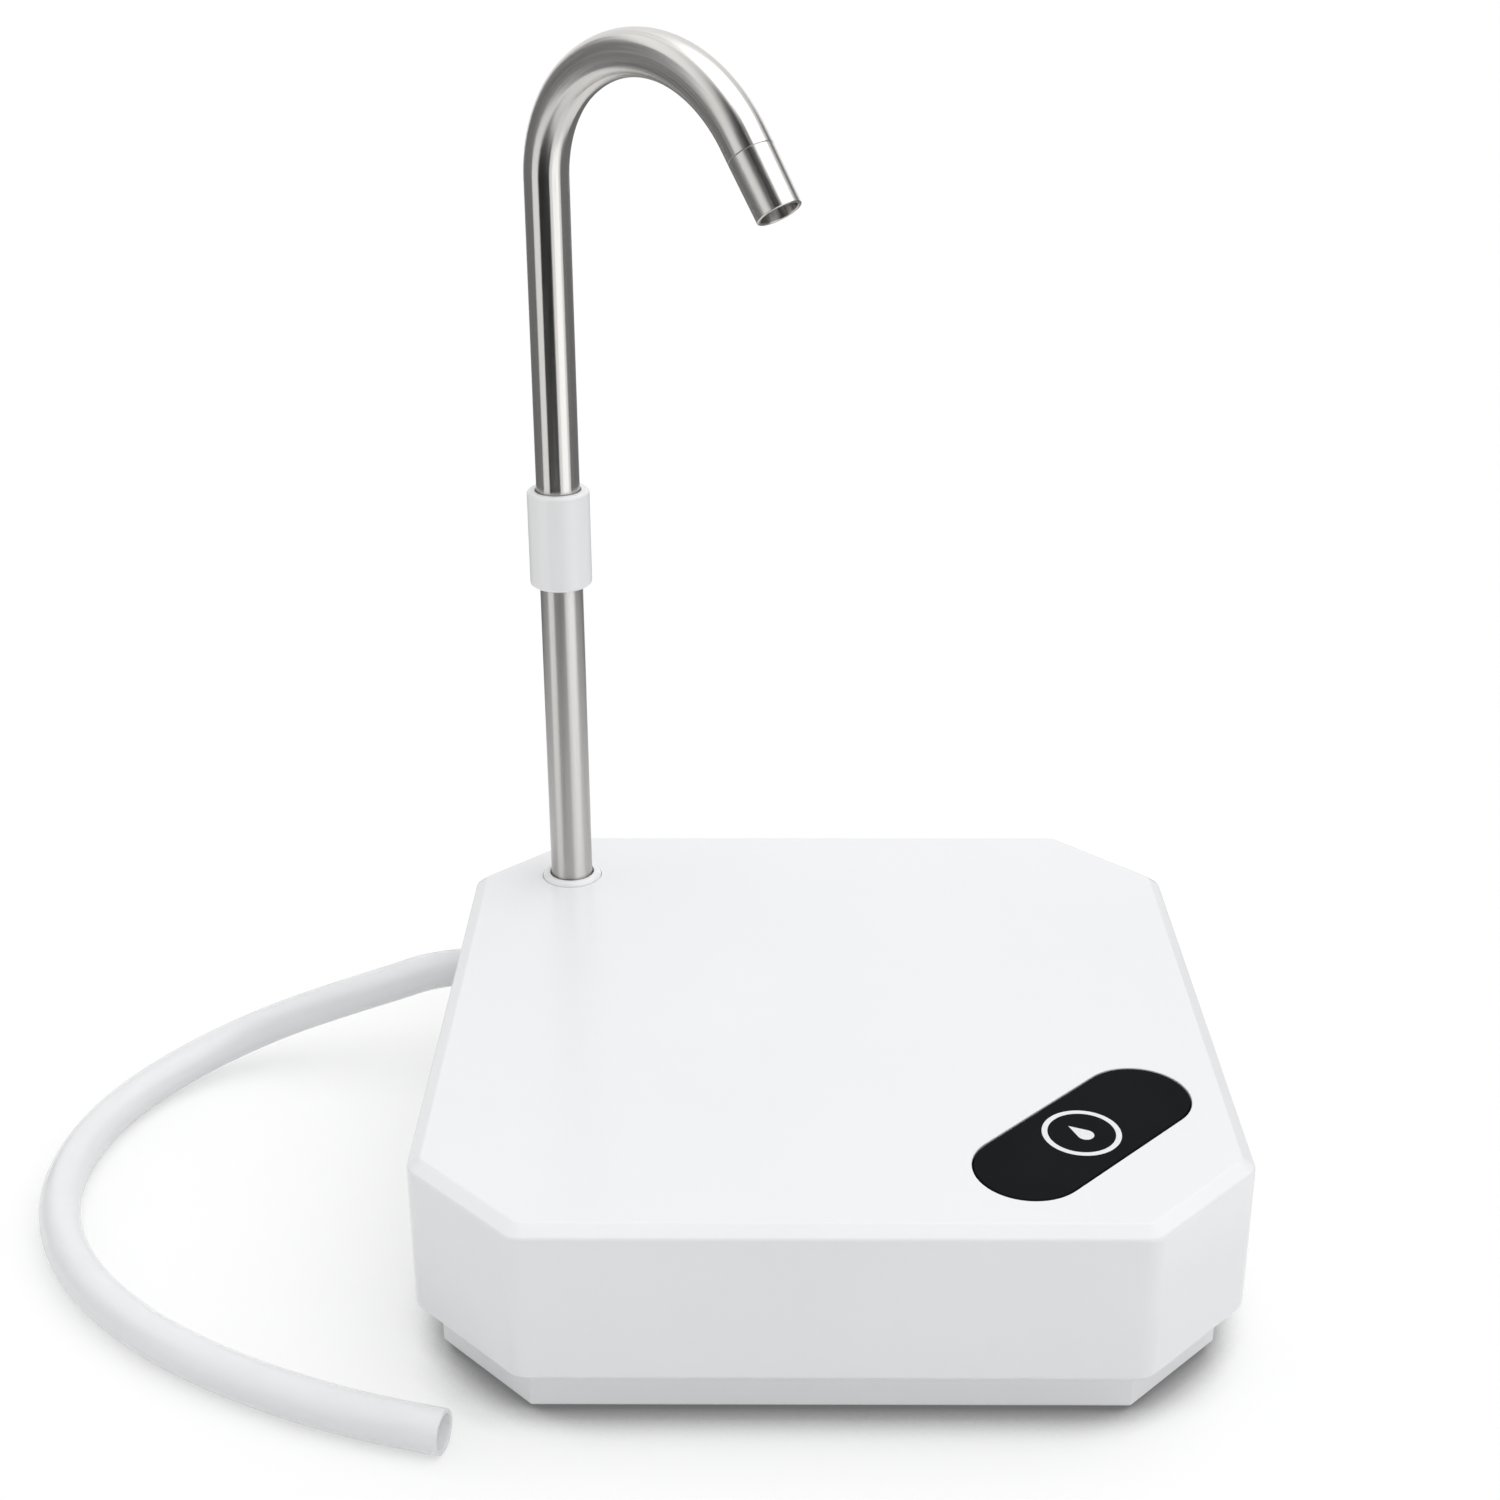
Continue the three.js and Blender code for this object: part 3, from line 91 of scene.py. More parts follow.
# Suction hose: clear silicone hose, 9 mm outside and 7 mm inside, pushed over the barb in the
# casing's left wall. It sags to the surface, lies round to the front and ends in a bare knife cut.
hose_outer = 4.5 * mm
hose_bore = 3.5 * mm
hose_rim = 0.2 * mm
silicone_passes_share = 0.6
hose_route_mm = [
    (-84.3, 51.3, 26.4), (-88, 51.3, 26.3), (-92.5, 51.3, 25.7), (-98, 51.4, 24.3),
    (-104.5, 51.5, 21.9), (-113.2, 51.8, 18.7), (-122.8, 51.6, 15.3), (-132.3, 50.7, 12),
    (-141.5, 47.9, 9.1), (-149.9, 43.2, 6.9), (-157.1, 36.7, 5.5), (-163.1, 28.4, 4.8),
    (-167.5, 19, 4.6), (-170.3, 8.7, 4.55), (-171.4, -2, 4.55), (-170.7, -12.6, 4.55),
    (-168.2, -22.7, 4.55), (-164.2, -32, 4.55), (-159, -40.5, 4.55), (-152.8, -48.2, 4.55),
    (-145.8, -55.2, 4.55), (-138.1, -61.6, 4.55), (-129.9, -67.2, 4.55), (-121.3, -72.3, 4.55),
    (-112.5, -76.8, 4.55), (-103.5, -80.8, 4.55), (-94.3, -84.3, 4.55), (-84.7, -87.3, 4.55),
    (-74.8, -90, 4.55),
]


def line_through(points, steps):
    """A smooth line through the points, with that many steps from each to the next."""
    ends = [2 * points[0] - points[1], *points, 2 * points[-1] - points[-2]]
    line = []
    for before, start, end, after in zip(ends, ends[1:], ends[2:], ends[3:]):
        for step in range(steps):
            t = step / steps
            bend = 2 * before - 5 * start + 4 * end - after
            swing = 3 * start - before - 3 * end + after
            line.append(start + ((end - before) * t + bend * t * t + swing * t**3) / 2)
    return [*line, points[-1]]


def new_piece(name, bm, sharp_degrees=40):
    """A shown mesh object, smooth but for edges sharper than that, and flat where it is flat."""
    bmesh.ops.remove_doubles(bm, verts=bm.verts, dist=0.0005 * mm)
    bmesh.ops.recalc_face_normals(bm, faces=bm.faces)
    mesh = bpy.data.meshes.new(name)
    bm.to_mesh(mesh)
    bm.free()
    mesh.shade_smooth()
    mesh.set_sharp_from_angle(angle=math.radians(sharp_degrees))
    piece = bpy.data.objects.new(name, mesh)
    bpy.context.scene.collection.objects.link(piece)
    weighted = piece.modifiers.new("flat_faces_stay_flat", "WEIGHTED_NORMAL")
    weighted.keep_sharp = True
    return piece


def add_rings(bm, rings, closed=False):
    """Skins rings of as many points each. Closed also joins the last ring to the first."""
    loops = [[bm.verts.new(point) for point in ring] for ring in rings]
    for lower, upper in zip(loops, loops[1:] + loops[:1] if closed else loops[1:]):
        for i, corner in enumerate(lower):
            after = (i + 1) % len(lower)
            bm.faces.new((corner, lower[after], upper[after], upper[i]))
    return loops


def add_tube(bm, line, outer, bore, rim, sides=48):
    """A tube along the line with rounded ends. Layers hold each point as if unbent, and its way along."""
    unbent = bm.verts.layers.float_vector.new("unbent")
    along = bm.verts.layers.float_vector.new("along")
    ways = [(after - before).normalized() for before, after in zip([line[0], *line], [*line[1:], line[-1]])]
    side = ways[0].orthogonal().normalized()
    drawn = 0
    frames = []
    for i, (point, way) in enumerate(zip(line, ways)):
        drawn += (point - line[i - 1]).length if i else 0
        side = (side - way * side.dot(way)).normalized()
        frames.append((point, way, side, way.cross(side), drawn))
    arc = [math.pi / 8 * step for step in range(5)]
    rounded = [(outer - rim * (1 - math.cos(a)), rim * (1 - math.sin(a))) for a in arc]
    rounded += [(bore + rim * (1 - math.cos(a)), rim * (1 - math.sin(a))) for a in reversed(arc)]
    sections = [(frame, 0, outer) for frame in frames[1:-1]]
    sections += [(frames[-1], -back, radius) for radius, back in rounded]
    sections += [(frame, 0, bore) for frame in reversed(frames[1:-1])]
    sections += [(frames[0], back, radius) for radius, back in reversed(rounded)]
    turns = [2 * math.pi * i / sides for i in range(sides)]
    rings = []
    for (point, way, side, up, drawn), shift, radius in sections:
        middle = point + way * shift
        rings.append([middle + (side * math.cos(a) + up * math.sin(a)) * radius for a in turns])
    loops = add_rings(bm, rings, closed=True)
    for ((_, way, _, _, drawn), shift, radius), loop in zip(sections, loops):
        for turn, corner in zip(turns, loop):
            corner[unbent] = (radius * math.cos(turn), radius * math.sin(turn), drawn + shift)
            corner[along] = way


def new_finish(name):
    """A material, and the shader that its surface comes from."""
    finish = bpy.data.materials.new(name)
    finish.use_nodes = True
    return finish, finish.node_tree.nodes["Principled BSDF"]


def feed(finish, node, feeds):
    """Gives sockets of the node their values, or links them to the outputs of other nodes."""
    for socket, value in feeds.items():
        if isinstance(value, bpy.types.NodeSocket):
            finish.node_tree.links.new(value, node.inputs[socket])
        else:
            node.inputs[socket].default_value = value


def new_node(finish, kind, feeds):
    """A node of that kind among the finish's nodes, with these sockets fed."""
    node = finish.node_tree.nodes.new(kind)
    feed(finish, node, feeds)
    return node


def worked_out(finish, operation, first, second):
    """What the operation makes of the two numbers."""
    node = new_node(finish, "ShaderNodeMath", {0: first, 1: second})
    node.operation = operation
    return node.outputs[0]


def layer(finish, name):
    """What the mesh's layer of that name holds at each point."""
    node = new_node(finish, "ShaderNodeAttribute", {})
    node.attribute_name = name
    return node.outputs["Vector"]


def place_on_piece(finish):
    return new_node(finish, "ShaderNodeTexCoord", {}).outputs["Object"]


def noise(finish, size, stretch=(1, 1, 1), detail=3, unbent=False):
    """Cloudy noise with blotches of about that size, stretched, over the piece or its unbent layer."""
    where = layer(finish, "unbent") if unbent else place_on_piece(finish)
    scale = [1 / (size * longer) for longer in stretch]
    scaled = new_node(finish, "ShaderNodeMapping", {"Vector": where, "Scale": scale})
    feeds = {"Vector": scaled.outputs["Vector"], "Scale": 1, "Detail": detail}
    return new_node(finish, "ShaderNodeTexNoise", feeds).outputs["Fac"]


def blended(finish, share, dark, light):
    """A colour between the two, by the noise."""
    ramp = new_node(finish, "ShaderNodeValToRGB", {"Fac": share})
    for stop, position, colour in zip(ramp.color_ramp.elements, (0.3, 0.7), (dark, light)):
        stop.position = position
        stop.color = (*colour, 1)
    return ramp.outputs["Color"]


def varied(finish, share, low, high):
    """A number from low to high, by the noise."""
    feeds = {"Value": share, "From Min": 0.3, "From Max": 0.7, "To Min": low, "To Max": high}
    return new_node(finish, "ShaderNodeMapRange", feeds).outputs["Result"]


def relief(finish, height, depth, strength=1):
    """The surface's lie, raised by that depth where the noise is light."""
    feeds = {"Height": height, "Distance": depth, "Strength": strength}
    return new_node(finish, "ShaderNodeBump", feeds).outputs["Normal"]


def milky_silicone(name, unbent):
    """Extruded silicone: milky, with faint lines along it from the die. Light falls through it."""
    finish, shader = new_finish(name)
    haze = noise(finish, 9 * mm)
    feed(finish, shader, {
        "Base Color": blended(finish, haze, (0.945, 0.955, 0.97), (0.965, 0.972, 0.982)),
        "Roughness": varied(finish, haze, 0.14, 0.24),
        "Transmission Weight": 0.3,
        "IOR": 1.41,
        "Normal": relief(finish, noise(finish, 0.9 * mm, (1, 1, 40), 2, unbent), 0.02 * mm, 0.5),
    })
    path = new_node(finish, "ShaderNodeLightPath", {})
    passed = worked_out(finish, "MULTIPLY", path.outputs["Is Shadow Ray"], silicone_passes_share)
    clear = new_node(finish, "ShaderNodeBsdfTransparent", {})
    feeds = {0: passed, 1: shader.outputs[0], 2: clear.outputs[0]}
    either = new_node(finish, "ShaderNodeMixShader", feeds)
    feed(finish, finish.node_tree.nodes["Material Output"], {"Surface": either.outputs[0]})
    return finish


hose_line = line_through([Vector(point) * mm for point in hose_route_mm], 5)
bm = bmesh.new()
add_tube(bm, hose_line, hose_outer, hose_bore, hose_rim)
hose = new_piece("hose_suction", bm)
hose.data.materials.append(milky_silicone("milky_silicone", True))
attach(hose, "base")
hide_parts("suction_hose")

# Top shell: one injection-moulded ABS cover with cut corners, a bevel round its top and a stepped
# lip below. Screw bosses and the key board's posts hang from its roof inside. It is open for the
# spout, the key, the hose's barb and the charging plug.
shell_low, shell_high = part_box("top_shell")
half_width = shell_high.x
lip_z = shell_low.z
top_z = shell_high.z
corner_cut = 22.7 * mm
corner_round = 5.5 * mm
least_round = 0.4 * mm
shell_wall = 2.4 * mm
roof_z = top_z - 2.4 * mm
top_bevel_inset = 2.85 * mm
top_bevel_height = 2 * mm
bevel_round = 1.1 * mm
lip_bevel = 1 * mm
seat_gap = 0.3 * mm
turn_gap = 0.35 * mm
hole_round = 0.25 * mm
boss_radius = 3.9 * mm
boss_bottom = 13.8 * mm
boss_bore = 1.85 * mm
boss_bore_top = 23.8 * mm
key_post_radius = 3 * mm
key_post_bottom = 35.3 * mm
key_post_bore = 1.35 * mm
key_post_bore_top = 40 * mm
key_turn = math.pi / 4
key_half_straight = 17.4 * mm
key_radius = 10.95 * mm
flange_radius = 7.15 * mm
flange_gap = 0.1 * mm
port_radius = 3.35 * mm
plug_half_width = 6.3 * mm
plug_half_height = 3.6 * mm
plug_round = 1.6 * mm
plug_chamfer = 0.5 * mm


def node_middle(name):
    low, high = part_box(name)
    return (low + high) / 2


def softened(corners, steps=5, closed=True):
    """An outline from (x, y, radius) corners, each rounded with a fillet of its radius."""
    points = []
    count = len(corners)
    for i, (x, y, radius) in enumerate(corners):
        corner = Vector((x, y))
        if radius == 0 or (not closed and i in (0, count - 1)):
            points.append(corner)
            continue
        back = (Vector(corners[i - 1][:2]) - corner).normalized()
        ahead = (Vector(corners[(i + 1) % count][:2]) - corner).normalized()
        half = back.angle(ahead) / 2
        middle = corner + (back + ahead).normalized() * radius / math.sin(half)
        start = corner + back * radius / math.tan(half) - middle
        sweep = math.copysign(math.pi - 2 * half, -back.cross(ahead))
        for step in range(steps + 1):
            points.append(middle + Matrix.Rotation(sweep * step / steps, 2) @ start)
    return points


def casing_outline(inset, steps=8):
    """The casing's outline that far inside its widest one: a square with its corners cut."""
    side = half_width - inset
    other = 2 * half_width - corner_cut - inset * math.sqrt(2) - side
    radius = max(corner_round - inset, least_round)
    corners = []
    for quarter in range(4):
        turn = Matrix.Rotation(quarter * math.pi / 2, 2)
        corners += [(*(turn @ Vector((side, y))), radius) for y in (-other, other)]
    return softened(corners, steps)


def pill_outline(half_straight, radius, steps=28):
    """A slot's outline along X: two half circles and the straights between them."""
    points = []
    for side in (-1, 1):
        for step in range(steps + 1):
            turn = math.pi * (step / steps - side / 2)
            points.append(Vector((side * half_straight + radius * math.cos(turn), radius * math.sin(turn))))
    return points


def circle_outline(radius, steps=48):
    return [Matrix.Rotation(2 * math.pi * i / steps, 2) @ Vector((radius, 0)) for i in range(steps)]


def at_height(outline, z, middle=Vector((0, 0, 0)), turn=0):
    """An outline turned about the middle's upright and laid at that height."""
    flat = [Matrix.Rotation(turn, 2) @ point for point in outline]
    return [Vector((middle.x + point.x, middle.y + point.y, z)) for point in flat]


def fill_between(bm, *loops):
    """A flat face inside the first loop and round the others, which are holes in it."""
    edges = [bm.edges.get(pair) for loop in loops for pair in zip(loop, loop[1:] + loop[:1])]
    bmesh.ops.triangle_fill(bm, edges=edges, use_beauty=True)


def add_bored_post(bm, middle, levels, steps=40):
    """Rings from a round post's foot over its end and into its bore, whose end is closed."""
    loops = add_rings(bm, [at_height(circle_outline(radius, steps), z, middle) for radius, z in levels])
    bm.faces.new(loops[-1])
    return loops[0]


def change_piece(piece, operation, bm):
    """Cuts the mesh out of the piece, or joins it on, and keeps the result as the piece's own mesh."""
    tool = new_piece("tool_for_" + piece.name, bm)
    piece.modifiers.clear()
    change = piece.modifiers.new("change", "BOOLEAN")
    change.operation = operation
    change.object = tool
    change.solver = "EXACT"
    bpy.context.view_layer.update()
    result = bpy.data.meshes.new_from_object(piece.evaluated_get(bpy.context.evaluated_depsgraph_get()))
    piece.modifiers.clear()
    piece.data = result
    bpy.data.objects.remove(tool)
    result.shade_smooth()
    result.set_sharp_from_angle(angle=math.radians(40))
    piece.modifiers.new("flat_faces_stay_flat", "WEIGHTED_NORMAL").keep_sharp = True


def add_block(bm, rings):
    """Skins rings and closes both ends with a flat face."""
    loops = add_rings(bm, rings)
    bm.faces.new(loops[0])
    bm.faces.new(loops[-1])


def add_turned(bm, profile, middle, lay=Matrix.Identity(3), steps=72, closed=False):
    """A shape of revolution from (radius, height) pairs, about an upright that lay may tip."""
    turns = [2 * math.pi * i / steps for i in range(steps)]
    return add_rings(bm, [
        [middle + lay @ Vector((radius * math.cos(a), radius * math.sin(a), height)) for a in turns]
        for radius, height in profile
    ], closed)


def box_corners(half_width, half_height):
    """The corners of a rectangle round nought, from its lower left one on."""
    lower = [(-half_width, -half_height), (half_width, -half_height)]
    return [*lower, (half_width, half_height), (-half_width, half_height)]


def across_y(outline, y):
    """An outline in the charging socket's section, at that depth."""
    return [Vector((usb_middle.x + point.x, y, usb_middle.z + point.y)) for point in outline]


def moulded_plastic(name, dark, light, roughness, grain=0.35 * mm, shine=0.5):
    """Moulded plastic: nearly even, with faint flow clouds and the fine spark grain of its mould."""
    finish, shader = new_finish(name)
    feed(finish, shader, {
        "Base Color": blended(finish, noise(finish, 60 * mm, detail=4), dark, light),
        "Roughness": varied(finish, noise(finish, 14 * mm), roughness - 0.03, roughness + 0.04),
        "Specular IOR Level": shine,
        "Normal": relief(finish, noise(finish, grain), 0.002 * mm, 0.5),
    })
    return finish


case_screws = [f"case_screw_{i}" for i in range(1, 5)]
key_middle = node_middle("power_key")
spout_axis = node_middle("riser_tube")
key_screws = ["key_screw_1", "key_screw_2"]
shell_profile = softened([
    (shell_wall, lip_z, 0),
    (lip_bevel, lip_z, 0.35 * mm),
    (0, lip_z + lip_bevel, 0.6 * mm),
    (0, top_z - top_bevel_height, bevel_round),
    (top_bevel_inset, top_z, bevel_round),
    (top_bevel_inset + corner_round, top_z, 0),
], closed=False)[:-1]
inner_profile = softened([
    (shell_wall, lip_z, 0),
    (shell_wall, roof_z, 1.2 * mm),
    (shell_wall + corner_round, roof_z, 0),
], closed=False)[:-1]
bm = bmesh.new()
outside = add_rings(bm, [at_height(casing_outline(inset), z) for inset, z in shell_profile])
inside = add_rings(bm, [at_height(casing_outline(inset), z) for inset, z in inner_profile])
edge_turns = [math.pi / 8 * step for step in range(5)]


def hole_levels(edge):
    """How far a hole's edge opens, and at which height, from its rounded rim down to the roof."""
    rounding = [(edge * (1 - math.sin(a)), top_z - edge * (1 - math.cos(a))) for a in edge_turns]
    return [*rounding, (0, roof_z)]


key_hole = add_rings(bm, [
    at_height(pill_outline(key_half_straight, key_radius + turn_gap + grow), z, key_middle, key_turn)
    for grow, z in hole_levels(hole_round)
])
spout_hole = add_rings(bm, [
    at_height(circle_outline(flange_radius + flange_gap + grow, 72), z, spout_axis)
    for grow, z in hole_levels(flange_gap)
])
bosses = [
    add_bored_post(bm, node_middle(name), [
        (boss_radius, roof_z), (boss_radius, boss_bottom), (boss_bore, boss_bottom), (boss_bore, boss_bore_top),
    ])
    for name in case_screws
]
key_posts = [
    add_bored_post(bm, node_middle(name), [
        (key_post_radius, roof_z), (key_post_radius, key_post_bottom),
        (key_post_bore, key_post_bottom), (key_post_bore, key_post_bore_top),
    ])
    for name in key_screws
]
fill_between(bm, outside[-1], key_hole[0], spout_hole[0])
fill_between(bm, inside[-1], key_hole[-1], spout_hole[-1], *bosses, *key_posts)
shell = new_piece("casing_top_shell", bm)

usb_middle = node_middle("usb_socket")
port_middle = Vector((-half_width, hose_line[0].y, hose_line[0].z))
bm = bmesh.new()
port_profile = [
    (0, -2 * shell_wall), (port_radius, -2 * shell_wall),
    (port_radius, 2 * shell_wall), (0, 2 * shell_wall),
]
add_turned(bm, port_profile, port_middle, Matrix.Rotation(math.pi / 2, 3, "Y"))
plug_levels = [(plug_chamfer, -shell_wall), (plug_chamfer, 0), (0, plug_chamfer), (0, 2 * shell_wall)]
plug_rings = []
for grow, depth in plug_levels:
    corners = box_corners(plug_half_width + grow, plug_half_height + grow)
    plug_rings.append(across_y(softened([(x, y, plug_round + grow) for x, y in corners]), half_width - depth))
add_block(bm, plug_rings)
change_piece(shell, "DIFFERENCE", bm)
casing_white = moulded_plastic("casing_white", (0.85, 0.856, 0.868), (0.868, 0.874, 0.886), 0.22, shine=0.35)
shell.data.materials.append(casing_white)
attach(shell, "base")
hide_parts("top_shell")

# Base tray: a second moulding of the same ABS that closes the casing from below and stands back
# under its lip. Screw posts and the saddles, stands and stops for the parts inside are one with it.
tray_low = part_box("base_plate")[0]
tray_inset = 5.1 * mm
tray_bevel = 0.9 * mm
tray_wall = 2 * mm
tray_floor_z = 3.4 * mm
ledge_inset = shell_wall + seat_gap
ledge_z = lip_z + seat_gap
ledge_top = ledge_z + 2 * mm
foot_recess_z = tray_low.z + 1 * mm
post_radius = 4.2 * mm
post_top = 13.5 * mm
head_hole = 3.25 * mm
head_seat = 5.2 * mm
standoff_radius = 2.8 * mm
standoff_top = 15.3 * mm
standoff_bore_z = 10.3 * mm
standoff_inset = 4 * mm
clamp_post_radius = 3.4 * mm
clamp_post_top = 19.7 * mm
clamp_bore = 1.55 * mm
clamp_bore_z = 11.7 * mm
stand_radius = 8.3 * mm
stand_top = 9.7 * mm
saddle_half_width = 10 * mm
saddle_thickness = 3 * mm
saddle_top = 12 * mm
saddle_round = 0.4 * mm
rest_shares = (0.8, 0.2)
feet = [f"foot_{i}" for i in range(1, 5)]
foot_low, foot_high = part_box("foot_1")
foot_radius = (foot_high.x - foot_low.x) / 2
motor_low, motor_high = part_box("motor_can")
motor_middle = (motor_low + motor_high) / 2
motor_radius = (motor_high.z - motor_low.z) / 2
pump_low, pump_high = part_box("pump_housing")
holder_low, holder_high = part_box("battery_holder")
cell_middle = node_middle("battery_cell")
board_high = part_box("main_board")[1]
free_standoff = Vector((node_middle("board_screw_1").x, board_high.y - standoff_inset, 0))
tray_profile = softened([
    (tray_inset + corner_round, tray_low.z, 0),
    (tray_inset + tray_bevel, tray_low.z, 0.3 * mm),
    (tray_inset, tray_low.z + tray_bevel, 0.5 * mm),
    (tray_inset, ledge_z, 0.2 * mm),
    (ledge_inset, ledge_z, 0.15 * mm),
    (ledge_inset, ledge_top, 0.3 * mm),
    (tray_inset + tray_wall, ledge_top, 0.3 * mm),
    (tray_inset + tray_wall, tray_floor_z, 0.6 * mm),
    (tray_inset + tray_wall + corner_round, tray_floor_z, 0),
], closed=False)[1:-1]
bm = bmesh.new()
tray_loops = add_rings(bm, [at_height(casing_outline(inset), z) for inset, z in tray_profile])
foot_wells = [
    add_bored_post(bm, node_middle(name), [
        (foot_radius + turn_gap + hole_round, tray_low.z), (foot_radius + turn_gap, tray_low.z + hole_round),
        (foot_radius + turn_gap, foot_recess_z),
    ])
    for name in feet
]
screw_wells = [
    add_rings(bm, [at_height(circle_outline(radius, 40), z, node_middle(name)) for radius, z in (
        (head_hole + hole_round, tray_low.z), (head_hole, tray_low.z + hole_round), (head_hole, head_seat),
        (boss_bore, head_seat), (boss_bore, post_top), (post_radius - hole_round, post_top),
        (post_radius, post_top - hole_round), (post_radius, tray_floor_z),
    )])
    for name in case_screws
]
standoffs = [
    add_bored_post(bm, middle, [
        (standoff_radius, tray_floor_z), (standoff_radius, standoff_top),
        (key_post_bore, standoff_top), (key_post_bore, standoff_bore_z),
    ])
    for middle in (node_middle("board_screw_1"), node_middle("board_screw_2"), free_standoff)
]
clamp_posts = [
    add_bored_post(bm, node_middle(name), [
        (clamp_post_radius, tray_floor_z), (clamp_post_radius, clamp_post_top),
        (clamp_bore, clamp_post_top), (clamp_bore, clamp_bore_z),
    ])
    for name in ("clamp_screw_1", "clamp_screw_2")
]
socket_stand = add_bored_post(bm, spout_axis, [
    (stand_radius, tray_floor_z), (stand_radius, stand_top - hole_round),
    (stand_radius - hole_round, stand_top),
])
fill_between(bm, tray_loops[0], *foot_wells, *(rings[0] for rings in screw_wells))
fill_between(
    bm, tray_loops[-1], *(rings[-1] for rings in screw_wells), *standoffs, *clamp_posts, socket_stand,
)
tray = new_piece("casing_base_tray", bm)


def add_bar(bm, outline, ends):
    """A bar along X between its two ends, from an outline across it."""
    add_block(bm, [[Vector((x, point.x, point.y)) for point in outline] for x in ends])


sunk_z = tray_floor_z - 1 * mm
hollow_radius = motor_radius + seat_gap
hollow_half = math.asin(math.sqrt(hollow_radius**2 - (motor_middle.z - saddle_top) ** 2) / hollow_radius)
hollow = [
    (
        motor_middle.y + hollow_radius * math.sin(hollow_half * (1 - step / 8)),
        motor_middle.z - hollow_radius * math.cos(hollow_half * (1 - step / 8)), 0,
    )
    for step in range(17)
]
saddle_outline = softened([
    (motor_middle.y - saddle_half_width, sunk_z, 0), (motor_middle.y + saddle_half_width, sunk_z, 0),
    (motor_middle.y + saddle_half_width, saddle_top, 0), *hollow,
    (motor_middle.y - saddle_half_width, saddle_top, 0),
])
bm = bmesh.new()
motor_length = motor_high.x - motor_low.x
for quarter in (1, 3):
    middle_x = motor_low.x + motor_length * quarter / 4
    add_bar(bm, saddle_outline, (middle_x - saddle_thickness / 2, middle_x + saddle_thickness / 2))


def block_outline(low_y, high_y, high_z):
    """A block across X that stands sunk in the tray's floor, with its upper edges rounded."""
    return softened([
        (low_y, sunk_z, 0), (high_y, sunk_z, 0), (high_y, high_z, saddle_round), (low_y, high_z, saddle_round),
    ])


head_length = pump_high.x - pump_low.x
rest_ends = [pump_high.x - head_length * share for share in rest_shares]
rest_half = saddle_half_width / 2
add_bar(
    bm, block_outline(motor_middle.y - rest_half, motor_middle.y + rest_half, pump_low.z - seat_gap), rest_ends,
)
stop_half = 4.6 * mm
stop_top = 10.1 * mm
for face, outward in ((holder_low.x - seat_gap, -1), (holder_high.x + seat_gap, 1)):
    add_bar(
        bm, block_outline(cell_middle.y - stop_half, cell_middle.y + stop_half, stop_top),
        sorted((face, face + outward * tray_wall)),
    )
change_piece(tray, "UNION", bm)
tray.data.materials.append(casing_white)
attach(tray, "base")
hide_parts("base_plate")

# Feet: four moulded rubber pads glued into recesses in the tray's underside, with a rounded edge
# and a shallow dish below that grips the surface.
foot_edge = 0.5 * mm
foot_dish = 0.25 * mm
foot_dish_radius = 4.5 * mm


def moulded_rubber(name, shade):
    """Matt moulded rubber with a dusty bloom and a fine leathery grain."""
    finish, shader = new_finish(name)
    bloom = noise(finish, 3 * mm, detail=6)
    feed(finish, shader, {
        "Base Color": blended(finish, bloom, (shade,) * 3, (shade * 1.7,) * 3),
        "Roughness": varied(finish, bloom, 0.6, 0.8),
        "Normal": relief(finish, noise(finish, 0.2 * mm), 0.02 * mm),
    })
    return finish


foot_rubber = moulded_rubber("foot_rubber", 0.03)
foot_profile = softened([
    (0, foot_dish, 0),
    (foot_dish_radius, foot_dish, 0.2 * mm),
    (foot_dish_radius + foot_dish, 0, 0.2 * mm),
    (foot_radius, 0, foot_edge),
    (foot_radius, foot_high.z, 0.2 * mm),
    (0, foot_high.z, 0),
], closed=False)
for name in feet:
    bm = bmesh.new()
    add_turned(bm, foot_profile, node_middle(name) * Vector((1, 1, 0)))
    foot = new_piece("rubber_" + name, bm)
    foot.data.materials.append(foot_rubber)
    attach(foot, "base")
    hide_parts(name)

# Case screws: zinc-plated steel pan-head screws with a cross recess. They are driven up through
# the tray's posts and cut their own thread in the shell's bosses.
thread_depth_share = 0.2
recess_reach_share = 0.6
recess_width_share = 0.15
recess_depth_share = 0.62
recess_foot_share = 0.55
thread_root_share = 0.4
thread_crest_share = 0.7
point_share = 0.6


def plated_steel(name, dark, light, roughness):
    """Plated or rolled steel: cool grey with fine cloudy changes of shine and tiny scratches."""
    finish, shader = new_finish(name)
    clouds = noise(finish, 2.5 * mm, detail=5)
    feed(finish, shader, {
        "Base Color": blended(finish, clouds, dark, light),
        "Roughness": varied(finish, clouds, roughness - 0.06, roughness + 0.08),
        "Metallic": 1,
        "Normal": relief(finish, noise(finish, 0.15 * mm, (1, 1, 8)), 0.003 * mm, 0.6),
    })
    return finish


screw_steel = plated_steel("screw_steel", (0.48, 0.49, 0.5), (0.6, 0.61, 0.62), 0.32)


